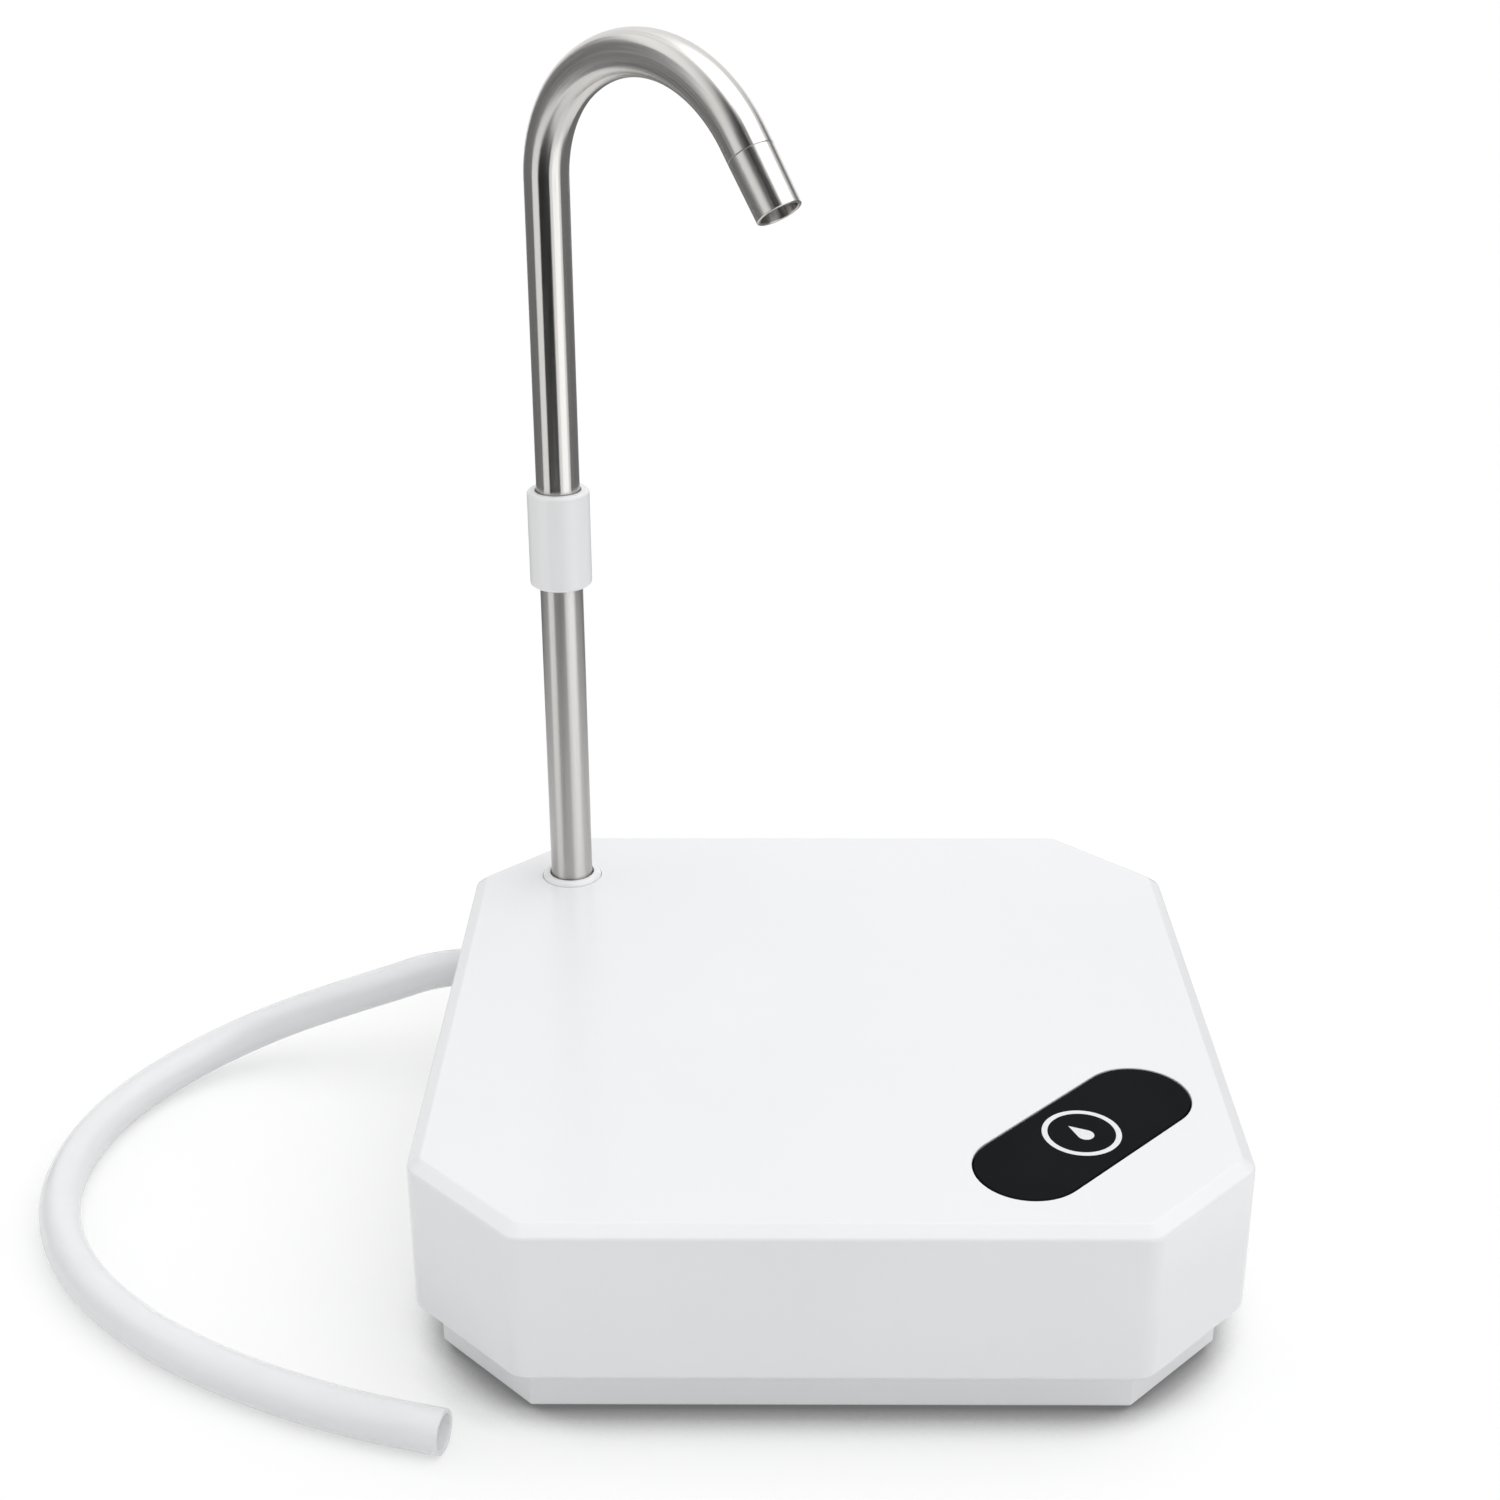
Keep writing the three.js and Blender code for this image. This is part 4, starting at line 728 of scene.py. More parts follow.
def make_screw(node, way, head_height, shank_radius, pitch):
    """A screw in its CAD node's place, whose shank points that way."""
    low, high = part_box(node)
    size = high - low
    length = abs(size.dot(way))
    head_radius = max(abs(size.dot(way.orthogonal())), abs(size.dot(way.cross(way.orthogonal())))) / 2
    lay = Vector((0, 0, 1)).rotation_difference(way).to_matrix()
    head_face = (low + high) / 2 - way * length / 2
    profile = softened([
        (0, 0, 0),
        (head_radius * 0.8, 0, head_height / 4),
        (head_radius, head_height / 2, head_height / 4),
        (head_radius, head_height, head_height / 12),
        (shank_radius, head_height, 0),
    ], closed=False)
    root = shank_radius * (1 - thread_depth_share)
    turns = int((length - head_height) / pitch) - 1
    for turn in range(turns):
        start = head_height + pitch * (turn + thread_root_share)
        profile += [
            (root, start), (root, start + pitch * thread_root_share),
            (shank_radius, start + pitch * thread_crest_share),
        ]
    profile += [(root, start + pitch), (root * point_share, length), (0, length)]
    bm = bmesh.new()
    add_turned(bm, profile, head_face, lay, 32)
    screw = new_piece("threaded_" + node, bm, 50)
    reach = head_radius * recess_reach_share
    half = head_radius * recess_width_share
    corner = [(reach, -half), (reach, half), (half, half)]
    cross = [Matrix.Rotation(math.pi / 2 * arm, 2) @ Vector(point) for arm in range(4) for point in corner]
    bm = bmesh.new()
    depths = [(-head_height, 1), (0, 1), (head_height * recess_depth_share, recess_foot_share)]
    add_block(bm, [
        [head_face + lay @ Vector((*(point * share), depth)) for point in cross] for depth, share in depths
    ])
    change_piece(screw, "DIFFERENCE", bm)
    screw.data.materials.append(screw_steel)
    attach(screw, "base")
    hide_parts(node)


up = Vector((0, 0, 1))
for name in case_screws:
    make_screw(name, up, 1.8 * mm, 1.5 * mm, 1.2 * mm)

# Spout socket: a moulded cup that stands on the tray and hangs in the roof by its neck. Its rounded
# white flange shows round the foot of the tube, and a barb on its side takes the outlet hose.
socket_low, socket_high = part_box("spout_socket")
socket_radius = 8.3 * mm
socket_bore = 5.35 * mm
socket_top = socket_high.z
flange_bevel = 0.8 * mm
groove_depth = 1.85 * mm
groove_height = 2.2 * mm
riser_seat = 24 * mm
channel_radius = 3.85 * mm
channel_floor = 14 * mm
barb_radius = 2.5 * mm
barb_neck = 2.15 * mm
barb_bore = 1.7 * mm
barb_length = 7 * mm
barb_z = 16.8 * mm
joint_depth = 1 * mm


def on_spout_axis(z):
    return Vector((spout_axis.x, spout_axis.y, z))


def ring_groove(ring, depth, height):
    """A groove for that O-ring in the bore of the socket or the collar, from its top to its bottom."""
    high_z = node_middle(ring).z + height / 2
    low_z = node_middle(ring).z - height / 2
    deep = socket_bore + depth
    return [(socket_bore, high_z, 0), (deep, high_z, 0), (deep, low_z, 0), (socket_bore, low_z, 0)]


socket_profile = softened([
    (0, socket_low.z, 0),
    (socket_radius, socket_low.z, 0.5 * mm),
    (socket_radius, roof_z - seat_gap, 0.4 * mm),
    (flange_radius, roof_z - seat_gap, 0),
    (flange_radius, socket_top - flange_bevel, 0.5 * mm),
    (flange_radius - flange_bevel, socket_top, 0.6 * mm),
    (socket_bore, socket_top, 0.2 * mm),
    *ring_groove("socket_ring_upper", groove_depth, groove_height),
    *ring_groove("socket_ring_lower", groove_depth, groove_height),
    (socket_bore, riser_seat, 0),
    (channel_radius, riser_seat, 0),
    (channel_radius, channel_floor, 0.5 * mm),
    (0, channel_floor, 0),
], closed=False)
bm = bmesh.new()
add_turned(bm, socket_profile, on_spout_axis(0))
socket = new_piece("spout_socket_cup", bm)
barb_foot = on_spout_axis(barb_z)
sideways = Matrix.Rotation(math.pi / 2, 3, "Y")
barb_end = socket_radius + barb_length
ridge = barb_length / 3
bm = bmesh.new()
add_turned(bm, [
    (0, socket_bore + joint_depth), (barb_neck, socket_bore + joint_depth), (barb_neck, barb_end - 2 * ridge),
    (barb_radius, barb_end - 2 * ridge), (barb_neck, barb_end - ridge),
    (barb_radius, barb_end - ridge), (barb_neck, barb_end), (0, barb_end),
], barb_foot, sideways, 40)
change_piece(socket, "UNION", bm)
bm = bmesh.new()
add_turned(bm, [
    (0, 0), (barb_bore, 0), (barb_bore, barb_end + joint_depth), (0, barb_end + joint_depth),
], barb_foot, sideways, 40)
change_piece(socket, "DIFFERENCE", bm)
flange_white = moulded_plastic("flange_white", (0.87, 0.873, 0.88), (0.89, 0.893, 0.9), 0.22, shine=0.4)
socket.data.materials.append(flange_white)
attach(socket, "base")
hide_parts("spout_socket")

# O-rings: two nitrile rings in the socket's bore and two thinner ones in the collar. They seal the
# tubes and hold them by friction, so that they turn and still stay up.
seal_rubber = moulded_rubber("seal_rubber", 0.022)
for name, body, section in (
    ("socket_ring_lower", "seals", 0.75 * mm), ("socket_ring_upper", "seals", 0.75 * mm),
    ("collar_ring_lower", "collar", 0.5 * mm), ("collar_ring_upper", "collar", 0.5 * mm),
):
    bm = bmesh.new()
    ring_radius = socket_bore + section
    turns = [2 * math.pi * step / 20 for step in range(20)]
    ring_profile = [(ring_radius + section * math.cos(a), section * math.sin(a)) for a in turns]
    add_turned(bm, ring_profile, on_spout_axis(node_middle(name).z), closed=True)
    o_ring = new_piece("rubber_" + name, bm)
    o_ring.data.materials.append(seal_rubber)
    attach(o_ring, body)
    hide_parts(name)

# Riser tube: 10 mm stainless tube with a 0.8 mm wall, drawn, cut and deburred. It stands in the
# socket on its two O-rings, and turns and pulls out.
tube_radius = 5 * mm
tube_wall = 0.8 * mm
tube_rim = 0.25 * mm


def polished_stainless(name, roughness):
    """Polished stainless tube: warm grey, with belt marks round it that spread light along it."""
    finish, shader = new_finish(name)
    lines = noise(finish, 0.35 * mm, (1, 1, 90), 4, True)
    turned = new_node(finish, "ShaderNodeVectorTransform", {"Vector": layer(finish, "along")})
    turned.vector_type = "VECTOR"
    turned.convert_from = "OBJECT"
    turned.convert_to = "WORLD"
    feed(finish, shader, {
        "Base Color": blended(finish, lines, (0.62, 0.606, 0.588), (0.68, 0.667, 0.65)),
        "Roughness": varied(finish, lines, roughness - 0.04, roughness + 0.05),
        "Metallic": 1,
        "Anisotropic": 0.92,
        "Tangent": turned.outputs[0],
        "Normal": relief(finish, lines, 0.004 * mm, 0.35),
    })
    return finish


riser_low, riser_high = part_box("riser_tube")
riser_steps = 12
bm = bmesh.new()
riser_line = [
    on_spout_axis(riser_low.z + (riser_high.z - riser_low.z) * step / riser_steps)
    for step in range(riser_steps + 1)
]
add_tube(bm, riser_line, tube_radius, tube_radius - tube_wall, tube_rim, 64)
riser = new_piece("spout_riser", bm)
riser.data.materials.append(polished_stainless("riser_stainless", 0.36))
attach(riser, "riser")
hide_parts("riser_tube")

# Collar: a moulded white sleeve with rounded ends that slips over both tubes where they meet. A rib
# inside stops them, and an O-ring in a groove seals each.
collar_low, collar_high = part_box("tube_collar")
collar_radius = 7.2 * mm
collar_round = 0.9 * mm
collar_groove_depth = 1.175 * mm
collar_groove_height = 1.7 * mm
collar_rib = 1.2 * mm


collar_middle = (collar_low.z + collar_high.z) / 2
collar_profile = softened([
    (collar_radius, collar_low.z, collar_round),
    (collar_radius, collar_high.z, collar_round),
    (socket_bore, collar_high.z, 0.25 * mm),
    *ring_groove("collar_ring_upper", collar_groove_depth, collar_groove_height),
    (socket_bore, collar_middle + collar_rib / 2, 0),
    (tube_radius - tube_wall, collar_middle + collar_rib / 2, 0),
    (tube_radius - tube_wall, collar_middle - collar_rib / 2, 0),
    (socket_bore, collar_middle - collar_rib / 2, 0),
    *ring_groove("collar_ring_lower", collar_groove_depth, collar_groove_height),
    (socket_bore, collar_low.z, 0.25 * mm),
], 7)
bm = bmesh.new()
add_turned(bm, collar_profile, on_spout_axis(0), closed=True)
collar = new_piece("spout_collar", bm)
collar.data.materials.append(flange_white)
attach(collar, "collar")
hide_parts("tube_collar")

# Gooseneck: the same tube, bent round two rollers in one plane, first a tighter arc and then a wider
# one. Its lower end stands on the collar's rib.
bend_start = 216.8 * mm
first_bend_radius = 27.7 * mm
first_bend_angle = math.radians(54)
second_bend_radius = 36.1 * mm
second_bend_angle = math.radians(89)
neck_end_straight = 3 * mm
neck_rim = 0.1 * mm
neck_turn = -math.pi / 4
neck_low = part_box("gooseneck_tube")[0]


def in_neck_plane(reach, height):
    """A point of the gooseneck's plane, at that reach from the spout's axis."""
    return on_spout_axis(height) + Vector((math.cos(neck_turn), math.sin(neck_turn), 0)) * reach


neck_line = [in_neck_plane(0, neck_low.z + (bend_start - neck_low.z) * step / 16) for step in range(16)]
reach = 0
height = bend_start
heading = 0
for bend_radius, bend_angle, steps in (
    (first_bend_radius, first_bend_angle, 36), (second_bend_radius, second_bend_angle, 60),
):
    for step in range(steps):
        turn = heading + bend_angle * step / steps
        neck_line.append(in_neck_plane(
            reach + bend_radius * (math.cos(heading) - math.cos(turn)),
            height + bend_radius * (math.sin(turn) - math.sin(heading)),
        ))
    reach += bend_radius * (math.cos(heading) - math.cos(heading + bend_angle))
    height += bend_radius * (math.sin(heading + bend_angle) - math.sin(heading))
    heading += bend_angle
neck_line.append(in_neck_plane(reach, height))
tip_way = (in_neck_plane(math.sin(heading), math.cos(heading)) - in_neck_plane(0, 0)).normalized()
neck_end = neck_line[-1] + tip_way * neck_end_straight
neck_line.append(neck_end)
bm = bmesh.new()
add_tube(bm, neck_line, tube_radius, tube_radius - tube_wall, neck_rim, 64)
neck = new_piece("spout_gooseneck", bm)
neck_steel = polished_stainless("neck_stainless", 0.22)
neck.data.materials.append(neck_steel)
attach(neck, "gooseneck")
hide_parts("gooseneck_tube")

# Spout tip: a short turned stainless sleeve whose spigot is pressed into the gooseneck's end. It
# tapers a little to its mouth, which is deburred and catches the light.
tip_seam = 0.08 * mm
tip_length = 13.2 * mm
mouth_radius = 4.85 * mm
spigot_length = 3.4 * mm
spigot_radius = 3.85 * mm
spigot_wall = 0.7 * mm
spigot_bore = spigot_radius - spigot_wall
tip_start = neck_end + tip_way * (tip_seam - spigot_length)
mouth = spigot_length + tip_length
tip_profile = softened([
    (spigot_bore, 0, 0.1 * mm),
    (spigot_radius, 0, 0.2 * mm),
    (spigot_radius, spigot_length, 0),
    (tube_radius, spigot_length, neck_rim),
    (mouth_radius, mouth, 0.15 * mm),
    (mouth_radius - tube_wall, mouth, 0.15 * mm),
    (spigot_bore, spigot_length + spigot_wall, 0.3 * mm),
])
bm = bmesh.new()
unbent = bm.verts.layers.float_vector.new("unbent")
along = bm.verts.layers.float_vector.new("along")
lay = up.rotation_difference(tip_way).to_matrix()
for loop in add_turned(bm, tip_profile, tip_start, lay, 64, closed=True):
    for corner in loop:
        corner[unbent] = lay.transposed() @ (corner.co - tip_start)
        corner[along] = tip_way
tip = new_piece("spout_tip_sleeve", bm)
tip.data.materials.append(neck_steel)
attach(tip, "gooseneck")
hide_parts("spout_tip")

# Power key: a satin black moulded cap, flush in the top, with a flange below that keeps it in its
# hole and a stem that reaches the switch. A white ring with a plain drop is printed on it.
key_low, key_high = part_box("power_key")
key_round = 0.3 * mm
key_under = key_high.z - 2.7 * mm
key_flange = 1.2 * mm
key_flange_bottom = key_under - 1.3 * mm
key_stem_radius = 2 * mm
print_thickness = 0.03 * mm
ring_outer = 8 * mm
ring_line = 1.15 * mm
mark_shift = -0.85 * mm
drop_bulb = 1.7 * mm
drop_tip = 4.4 * mm
drop_shift_share = 0.6
key_levels = [
    (-key_round * (1 - math.cos(a)), key_high.z - key_round * (1 - math.sin(a))) for a in reversed(edge_turns)
]
key_levels += [(0, key_under), (key_flange, key_under), (key_flange, key_flange_bottom)]
bm = bmesh.new()
key_loops = add_rings(bm, [
    at_height(pill_outline(key_half_straight, key_radius + grow), z, key_middle, key_turn)
    for grow, z in key_levels
])
bm.faces.new(key_loops[0])
stem = add_bored_post(bm, key_middle, [
    (key_stem_radius, key_flange_bottom), (key_stem_radius, key_low.z + key_round),
    (key_stem_radius - key_round, key_low.z),
])
fill_between(bm, key_loops[-1], stem)
key = new_piece("key_cap", bm)
key.data.materials.append(
    moulded_plastic("key_black", (0.0068, 0.0076, 0.0086), (0.0078, 0.0088, 0.0098), 0.68, 0.2 * mm, 0.04)
)
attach(key, "key")
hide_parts("power_key")


def printed_white(name):
    """Pad-printed white ink: a thin dense coat with a faintly mottled, matt face."""
    finish, shader = new_finish(name)
    mottle = noise(finish, 0.8 * mm, detail=5)
    feed(finish, shader, {
        "Base Color": blended(finish, mottle, (0.78, 0.785, 0.8), (0.84, 0.845, 0.86)),
        "Roughness": varied(finish, mottle, 0.45, 0.6),
        "Normal": relief(finish, noise(finish, 0.15 * mm), 0.004 * mm),
    })
    return finish


print_white = printed_white("print_white")
mark_middle = key_middle + Vector((math.cos(key_turn), math.sin(key_turn), 0)) * mark_shift
drop_half = math.acos(drop_bulb / drop_tip)
drop_turns = [drop_half + (2 * math.pi - 2 * drop_half) * step / 40 for step in range(41)]
drop_outline = [Vector((drop_bulb * math.cos(a), drop_bulb * math.sin(a))) for a in drop_turns]
drop_outline.append(Vector((drop_tip, 0)))
drop_outline = [point - Vector((drop_bulb * drop_shift_share, 0)) for point in drop_outline]
soft_edge = 0.02 * mm
print_levels = [
    (1, key_high.z - print_thickness), (1, key_high.z + print_thickness / 2),
    (1 - soft_edge / drop_bulb, key_high.z + print_thickness),
]
bm = bmesh.new()
ring_profile = [
    (ring_outer, -print_thickness), (ring_outer, print_thickness / 2),
    (ring_outer - soft_edge, print_thickness), (ring_outer - ring_line + soft_edge, print_thickness),
    (ring_outer - ring_line, print_thickness / 2), (ring_outer - ring_line, -print_thickness),
]
add_turned(bm, ring_profile, Vector((mark_middle.x, mark_middle.y, key_high.z)), steps=96, closed=True)
ring_mark = new_piece("key_ring_mark", bm)
bm = bmesh.new()
drop_turn = math.radians(135)
add_block(bm, [
    at_height([point * share for point in drop_outline], z, mark_middle, drop_turn) for share, z in print_levels
])
drop_mark = new_piece("key_drop_mark", bm)
for mark in (ring_mark, drop_mark):
    mark.data.materials.append(print_white)
    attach(mark, "key")

# Key board and switch: a small fibreglass board screwed up to two posts under the roof, with a tact
# switch whose plunger the key's stem presses.


def dress(finish, *names):
    """Gives CAD pieces that stay as they are their finish."""
    for name in names:
        for slot in frame["nodes"][name].material_slots:
            slot.material = finish


def solder_mask(name):
    """Green solder mask over copper: glossy, lighter over a faint net of tracks below it."""
    finish, shader = new_finish(name)
    tracks = new_node(finish, "ShaderNodeTexBrick", {
        "Vector": place_on_piece(finish), "Scale": 1,
        "Brick Width": 5 * mm, "Row Height": 1.6 * mm, "Mortar Size": 0.25 * mm,
        "Color1": (0.012, 0.1, 0.042, 1), "Color2": (0.014, 0.115, 0.05, 1), "Mortar": (0.03, 0.2, 0.08, 1),
    })
    feed(finish, shader, {
        "Base Color": tracks.outputs["Color"],
        "Roughness": varied(finish, noise(finish, 2 * mm), 0.22, 0.34),
        "Normal": relief(finish, tracks.outputs["Fac"], 0.03 * mm, 0.6),
    })
    return finish


board_green = solder_mask("board_green")
part_black = moulded_plastic("part_black", (0.018, 0.018, 0.02), (0.028, 0.028, 0.031), 0.45, 0.12 * mm)
ferrite_grey = moulded_plastic("ferrite_grey", (0.09, 0.09, 0.095), (0.14, 0.14, 0.15), 0.55, 0.25 * mm)
dress(board_green, "key_board")
dress(part_black, "switch_body")
dress(ferrite_grey, "switch_plunger")
for name in key_screws:
    make_screw(name, up, 1.3 * mm, 1 * mm, 0.8 * mm)

# Gear pump: an acetal housing and cover round two nylon gears, drawn together by screws. The lower
# gear is driven, the upper one turns on a hardened pin, and a lip seal closes the shaft's hole.
dress(
    moulded_plastic("pump_acetal", (0.47, 0.31, 0.12), (0.58, 0.4, 0.17), 0.35), "pump_housing", "pump_cover",
)
dress(moulded_plastic("gear_nylon", (0.8, 0.79, 0.74), (0.86, 0.85, 0.81), 0.4), "drive_gear", "driven_gear")
shaft_steel = plated_steel("shaft_steel", (0.52, 0.53, 0.54), (0.66, 0.67, 0.68), 0.2)
dress(shaft_steel, "idler_pin")
dress(seal_rubber, "shaft_seal")
for name in ("cover_screw_1", "cover_screw_2"):
    make_screw(name, Vector((1, 0, 0)), 1.3 * mm, 1.1 * mm, 0.9 * mm)

# Motor: a drawn steel can with a black end cap, held on the tray's saddles by a pressed steel clamp
# that is screwed to two posts. Its shaft carries the rotor and reaches into the pump.
can_steel = plated_steel("can_steel", (0.5, 0.5, 0.49), (0.63, 0.63, 0.62), 0.3)
dress(can_steel, "motor_can", "motor_clamp")
dress(shaft_steel, "motor_shaft")
dress(part_black, "motor_end_cap")
for name in ("clamp_screw_1", "clamp_screw_2"):
    make_screw(name, -up, 1.3 * mm, 1.2 * mm, 0.9 * mm)

# Battery: one 18 mm cell in a blue shrink sleeve, in an open moulded holder with a pressed plate at
# one end and a plated spring at the other.
holder_black = moulded_plastic("holder_black", (0.02, 0.02, 0.022), (0.03, 0.03, 0.033), 0.5)
dress(moulded_plastic("cell_sleeve", (0.05, 0.15, 0.38), (0.07, 0.19, 0.45), 0.25, 0.6 * mm), "battery_cell")
dress(holder_black, "battery_holder")
contact_nickel = plated_steel("contact_nickel", (0.6, 0.58, 0.53), (0.72, 0.7, 0.65), 0.25)
dress(contact_nickel, "contact_plus", "contact_spring")

# Main board: fibreglass, on three posts of the tray with two screws, with the driver chip, a boost
# coil and the plugs for the motor and the battery.
dress(board_green, "main_board")
dress(part_black, "driver_chip")
dress(ferrite_grey, "boost_coil")
dress(
    moulded_plastic("plug_nylon", (0.76, 0.75, 0.69), (0.83, 0.82, 0.77), 0.42, 0.2 * mm),
    "motor_plug", "battery_plug",
)
for name in ("board_screw_1", "board_screw_2"):
    make_screw(name, -up, 1.3 * mm, 1 * mm, 0.8 * mm)

# Charging socket: a seamless stainless shell folded round a black tongue with gilt contacts. It is
# soldered to the board's rear edge, behind the opening in the shell's rear wall.
usb_low, usb_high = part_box("usb_socket")
usb_half_straight = 2.9 * mm
usb_shell_wall = 0.35 * mm
usb_lip = 0.15 * mm
tongue_half_width = 3.3 * mm
tongue_half_height = 0.35 * mm
tongue_back = 0.6 * mm
tongue_tip_share = 0.9
contact_pitch = 0.65 * mm
contact_half_width = 0.13 * mm
contact_proud = 0.04 * mm
usb_radius = (usb_high.z - usb_low.z) / 2


bm = bmesh.new()
usb_inner = usb_radius - usb_shell_wall
usb_levels = [
    (usb_radius, usb_low.y), (usb_radius, usb_high.y - usb_lip), (usb_radius - usb_lip, usb_high.y),
    (usb_inner, usb_high.y - usb_lip), (usb_inner, usb_low.y + usb_shell_wall),
]
add_block(bm, [across_y(pill_outline(usb_half_straight, radius, 12), y) for radius, y in usb_levels])
usb_shell = new_piece("charge_socket_shell", bm)
usb_shell.data.materials.append(can_steel)
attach(usb_shell, "base")
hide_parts("usb_socket")
tongue_corners = box_corners(tongue_half_width, tongue_half_height)
tongue_outline = softened([(x, y, 0.15 * mm) for x, y in tongue_corners], 3)
bm = bmesh.new()
add_block(bm, [
    across_y(tongue_outline, usb_low.y + usb_shell_wall),
    across_y(tongue_outline, usb_high.y - tongue_back),
    across_y([point * tongue_tip_share for point in tongue_outline], usb_high.y - tongue_back + usb_lip),
])
tongue = new_piece("charge_socket_tongue", bm)
tongue.data.materials.append(part_black)
contact_corners = box_corners(contact_half_width, tongue_half_height + contact_proud)
contact_outline = [Vector(corner) for corner in contact_corners]
bm = bmesh.new()
for place in range(-4, 5):
    aside = Vector((place * contact_pitch, 0))
    add_block(bm, [
        across_y([point + aside for point in contact_outline], y)
        for y in (usb_low.y + usb_shell_wall, usb_high.y - 2 * tongue_back)
    ])
contacts = new_piece("charge_socket_contacts", bm)
contacts.data.materials.append(plated_steel("contact_gilt", (0.75, 0.55, 0.22), (0.83, 0.63, 0.3), 0.25))
for inner_piece, slot_name in ((tongue, "black_plastic"), (contacts, "steel")):
    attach(inner_piece, "base")

# Wires: PVC-sleeved leads from the motor, the battery and the key board to the main board. Each is
# soldered at one end and held by a plug or by solder at the other.


def wire_sleeve(name, dark, light):
    """Soft PVC sleeve: evenly coloured, with a dull shine and faint lines from the die."""
    finish, shader = new_finish(name)
    feed(finish, shader, {
        "Base Color": blended(finish, noise(finish, 6 * mm), dark, light),
        "Roughness": varied(finish, noise(finish, 2 * mm), 0.38, 0.5),
        "Normal": relief(finish, noise(finish, 0.3 * mm), 0.01 * mm),
    })
    return finish


def round_off(*names):
    """Rounds CAD rods and tubes of few faces by subdividing them."""
    for name in names:
        wire = frame["nodes"][name]
        wire.modifiers.new("joined", "WELD").merge_threshold = 0.005 * mm
        rounder = wire.modifiers.new("rounder", "SUBSURF")
        rounder.levels = 2
        rounder.render_levels = 2


for colour, dark, light, leads in (
    ("red", (0.45, 0.02, 0.015), (0.55, 0.03, 0.02), ("motor_lead_red", "battery_lead_red")),
    ("black", (0.012, 0.012, 0.012), (0.02, 0.02, 0.02), ("motor_lead_black", "battery_lead_black")),
    ("grey", (0.26, 0.27, 0.28), (0.32, 0.33, 0.34), ("key_lead",)),
):
    dress(wire_sleeve("wire_" + colour, dark, light), *leads)
    round_off(*leads)

# Hoses inside: two lengths of the same silicone hose, from the fitting to the pump and from the
# pump to the socket. The fitting is a moulded elbow whose barb stands through the left wall.
dress(milky_silicone("inner_silicone", False), "inlet_hose", "outlet_hose")
round_off("inlet_hose", "outlet_hose")
dress(casing_white, "hose_fitting")

# Floor: a plain white board under the whole scene. Close round the casing's foot it is darker, where
# the overhanging lip lets little light in: a painted shade from an ambient occlusion reading, kept inside a
# circle round the casing.
floor_reach = 15
floor_white = 0.85
floor_seen_white = 0.51
floor_seen_glow = 0.478
# Painted shade near the casing: its occlusion reach, the occlusion levels it spans, its darkest factor, and the
# circle it fades out past.
gap_reach = 20 * mm
gap_closed = 0.25
gap_open = 0.7
painted_gap_shade = 0.25
gap_circle = 107 * mm
gap_fade = 6 * mm


def seen_or_plain(finish, plain, seen, share=None):
    """Plain for lighting and seen, or a share of it, for camera, mirrored and refracted rays."""
    path = new_node(finish, "ShaderNodeLightPath", {})
    shown = path.outputs["Is Camera Ray"]
    for ray in ("Is Glossy Ray", "Is Transmission Ray"):
        shown = worked_out(finish, "MAXIMUM", shown, path.outputs[ray])
    if share:
        seen = worked_out(finish, "MULTIPLY", share, seen)
    feeds = {"Value": shown, "To Min": plain, "To Max": seen}
    return new_node(finish, "ShaderNodeMapRange", feeds).outputs["Result"]


def painted_shade_beside_casing(finish):
    """Painted shade: a factor from an ambient occlusion reading that darkens the floor near the casing's foot,
    and 1 further out.
    """
    openness = new_node(finish, "ShaderNodeAmbientOcclusion", {"Distance": gap_reach})
    openness.samples = 16
    painted_dimming = new_node(finish, "ShaderNodeMapRange", {
        "Value": openness.outputs["AO"], "From Min": gap_closed, "From Max": gap_open, "To Min": painted_gap_shade,
    })
    painted_dimming.interpolation_type = "SMOOTHSTEP"
    away = new_node(finish, "ShaderNodeVectorMath", {0: place_on_piece(finish)})
    away.operation = "LENGTH"
    return new_node(finish, "ShaderNodeMapRange", {
        "Value": away.outputs["Value"], "From Min": gap_circle, "From Max": gap_circle + gap_fade,
        "To Min": painted_dimming.outputs["Result"],
    }).outputs["Result"]


bm = bmesh.new()
bmesh.ops.create_grid(bm, x_segments=1, y_segments=1, size=floor_reach)
floor = new_piece("floor", bm)
finish, shader = new_finish("floor_white")
# The floor's seen colour and glow both take the painted shade near the casing.
share = painted_shade_beside_casing(finish)
feed(finish, shader, {
    "Base Color": seen_or_plain(finish, floor_white, floor_seen_white, share),
    "Roughness": 1,
    "Specular IOR Level": 0,
    "Emission Color": (1, 1, 1, 1),
    "Emission Strength": seen_or_plain(finish, 0, floor_seen_glow, share),
})
floor.data.materials.append(finish)

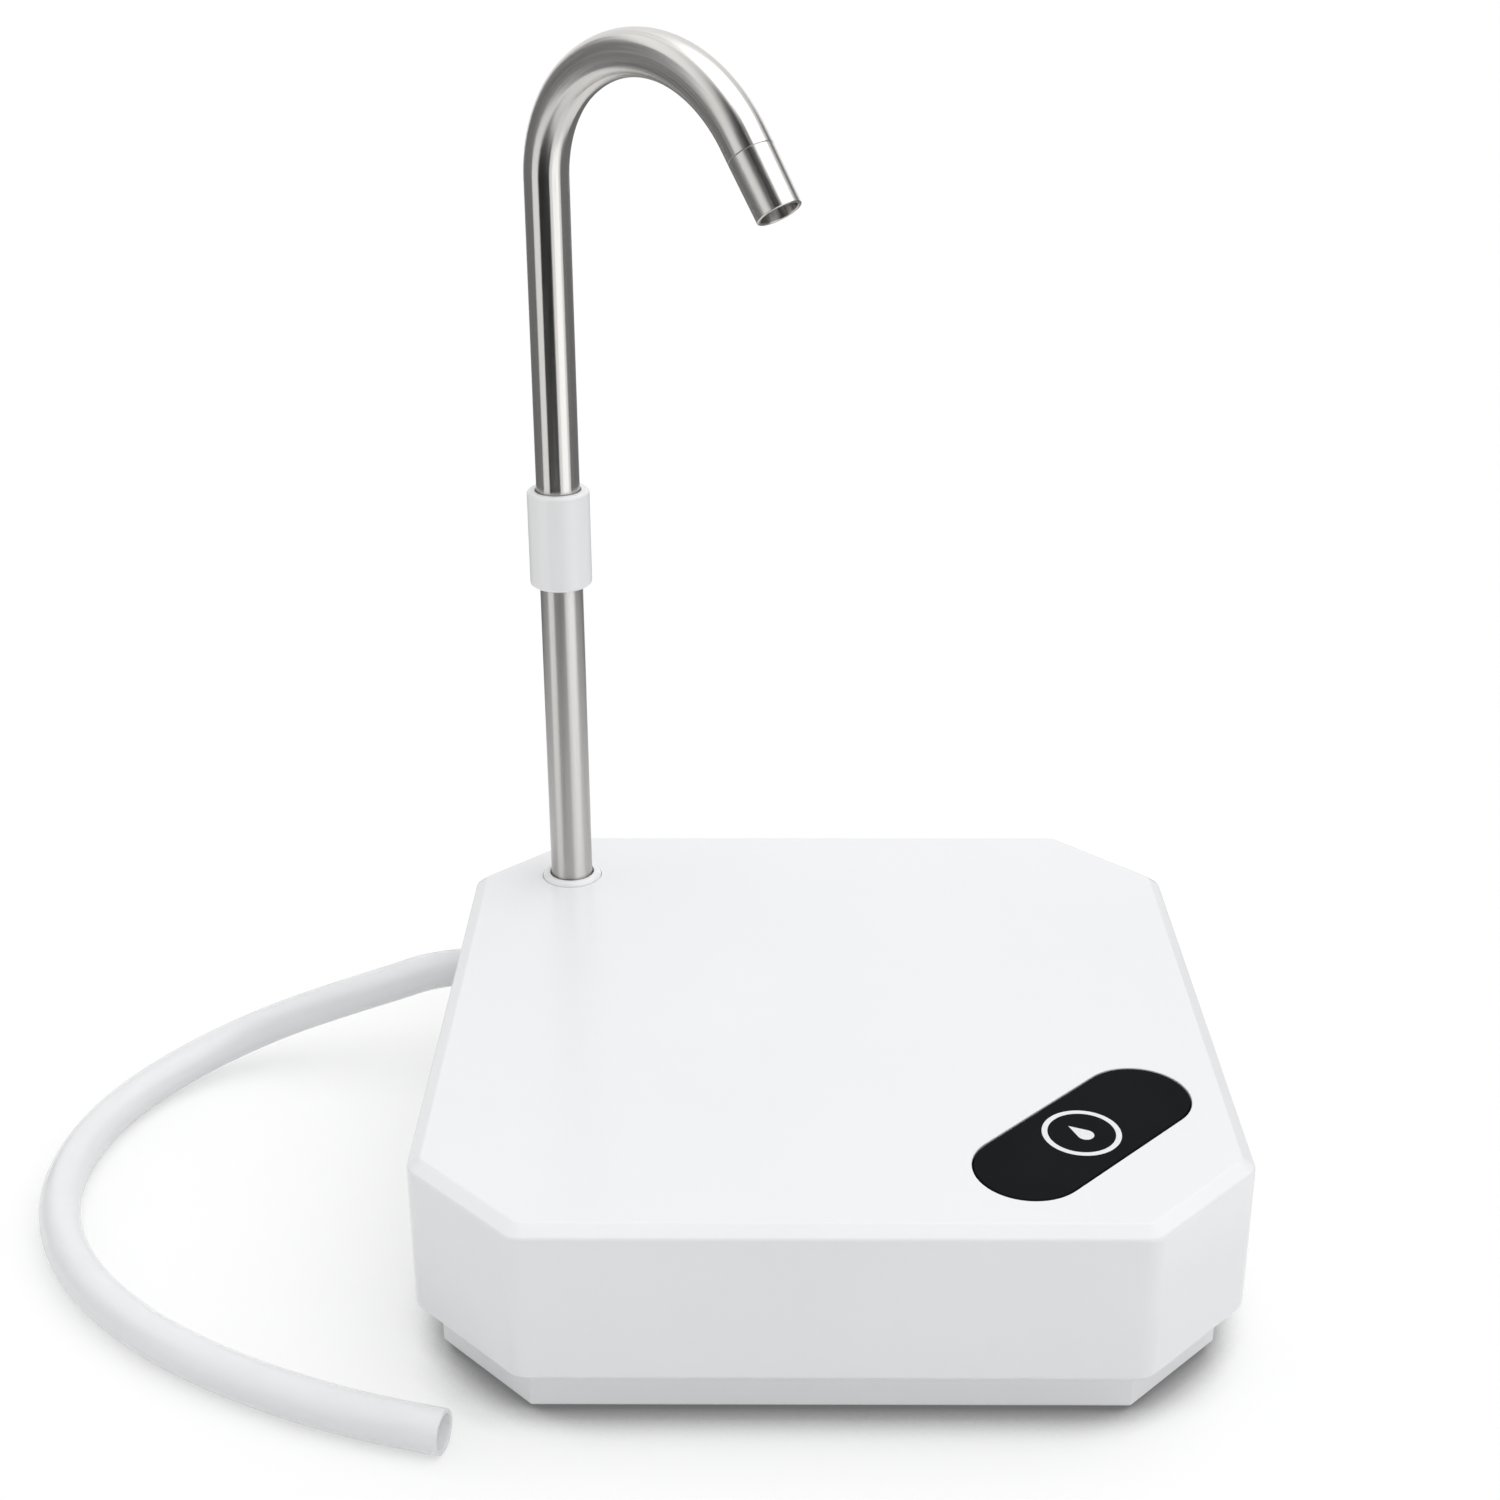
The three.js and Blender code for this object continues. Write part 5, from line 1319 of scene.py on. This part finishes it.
# Light: an even white room, a broad soft light from above and the right, a weak one from the left,
# and cards that only mirrored rays see, so that the steel shows dark and bright stripes.
room_level = 0.62
light_spread = math.radians(70)
card_steps = 24
world = bpy.data.worlds.new("studio")
bpy.context.scene.world = world
world.use_nodes = True
feed(world, world.node_tree.nodes["Background"], {
    "Color": (1, 1, 1, 1), "Strength": seen_or_plain(world, room_level, 1),
})

for name, energy, way in (
    ("soft_light", 1.3, Vector((-0.36, -0.01, -0.93))), ("fill_light", 0.25, Vector((0.9, -0.1, -0.42))),
):
    soft_light = bpy.data.objects.new(name, bpy.data.lights.new(name, "SUN"))
    bpy.context.scene.collection.objects.link(soft_light)
    soft_light.data.energy = energy
    soft_light.data.angle = light_spread
    soft_light.rotation_euler = way.to_track_quat("-Z", "Y").to_euler()


def add_card(name, from_degrees, to_degrees, outline, level):
    """A card round the scene, through (reach, height) pairs, that only mirrored rays see."""
    wide = math.radians(to_degrees - from_degrees)
    turns = [math.radians(from_degrees) + wide * step / card_steps for step in range(card_steps + 1)]
    bm = bmesh.new()
    loops = [
        [bm.verts.new(on_spout_axis(z) + Vector((math.cos(a), math.sin(a), 0)) * reach) for a in turns]
        for reach, z in outline
    ]
    for lower, upper in zip(loops, loops[1:]):
        for i in range(card_steps):
            bm.faces.new((upper[i], upper[i + 1], lower[i + 1], lower[i]))
    mesh = bpy.data.meshes.new(name)
    bm.to_mesh(mesh)
    bm.free()
    card = bpy.data.objects.new(name, mesh)
    bpy.context.scene.collection.objects.link(card)
    finish, shader = new_finish(name)
    feed(finish, shader, {
        "Base Color": (0, 0, 0, 1), "Specular IOR Level": 0,
        "Emission Color": (1, 1, 1, 1), "Emission Strength": level,
    })
    card.data.materials.append(finish)
    card.visible_camera = False
    card.visible_diffuse = False
    card.visible_transmission = False
    card.visible_shadow = False


lying = [(0.22, 0.2 * mm), (2, 0.2 * mm)]
for name, from_degrees, to_degrees, outline, level in (
    ("dark_card_front", -129, -71, [*lying, (2, 4)], 0.02),
    ("bright_card_right", -56, -24, [*lying, (2, 3.4)], 1.5),
    ("grey_card_right", -12, 55, [*lying, (2, 1.2)], 0.2),
    ("grey_card_back", 55, 130, lying, 0.2),
    ("grey_card_left", 130, 197, [*lying, (2, 1.6)], 0.2),
):
    add_card(name, from_degrees, to_degrees, outline, level)

bpy.context.scene.view_settings.view_transform = "Standard"
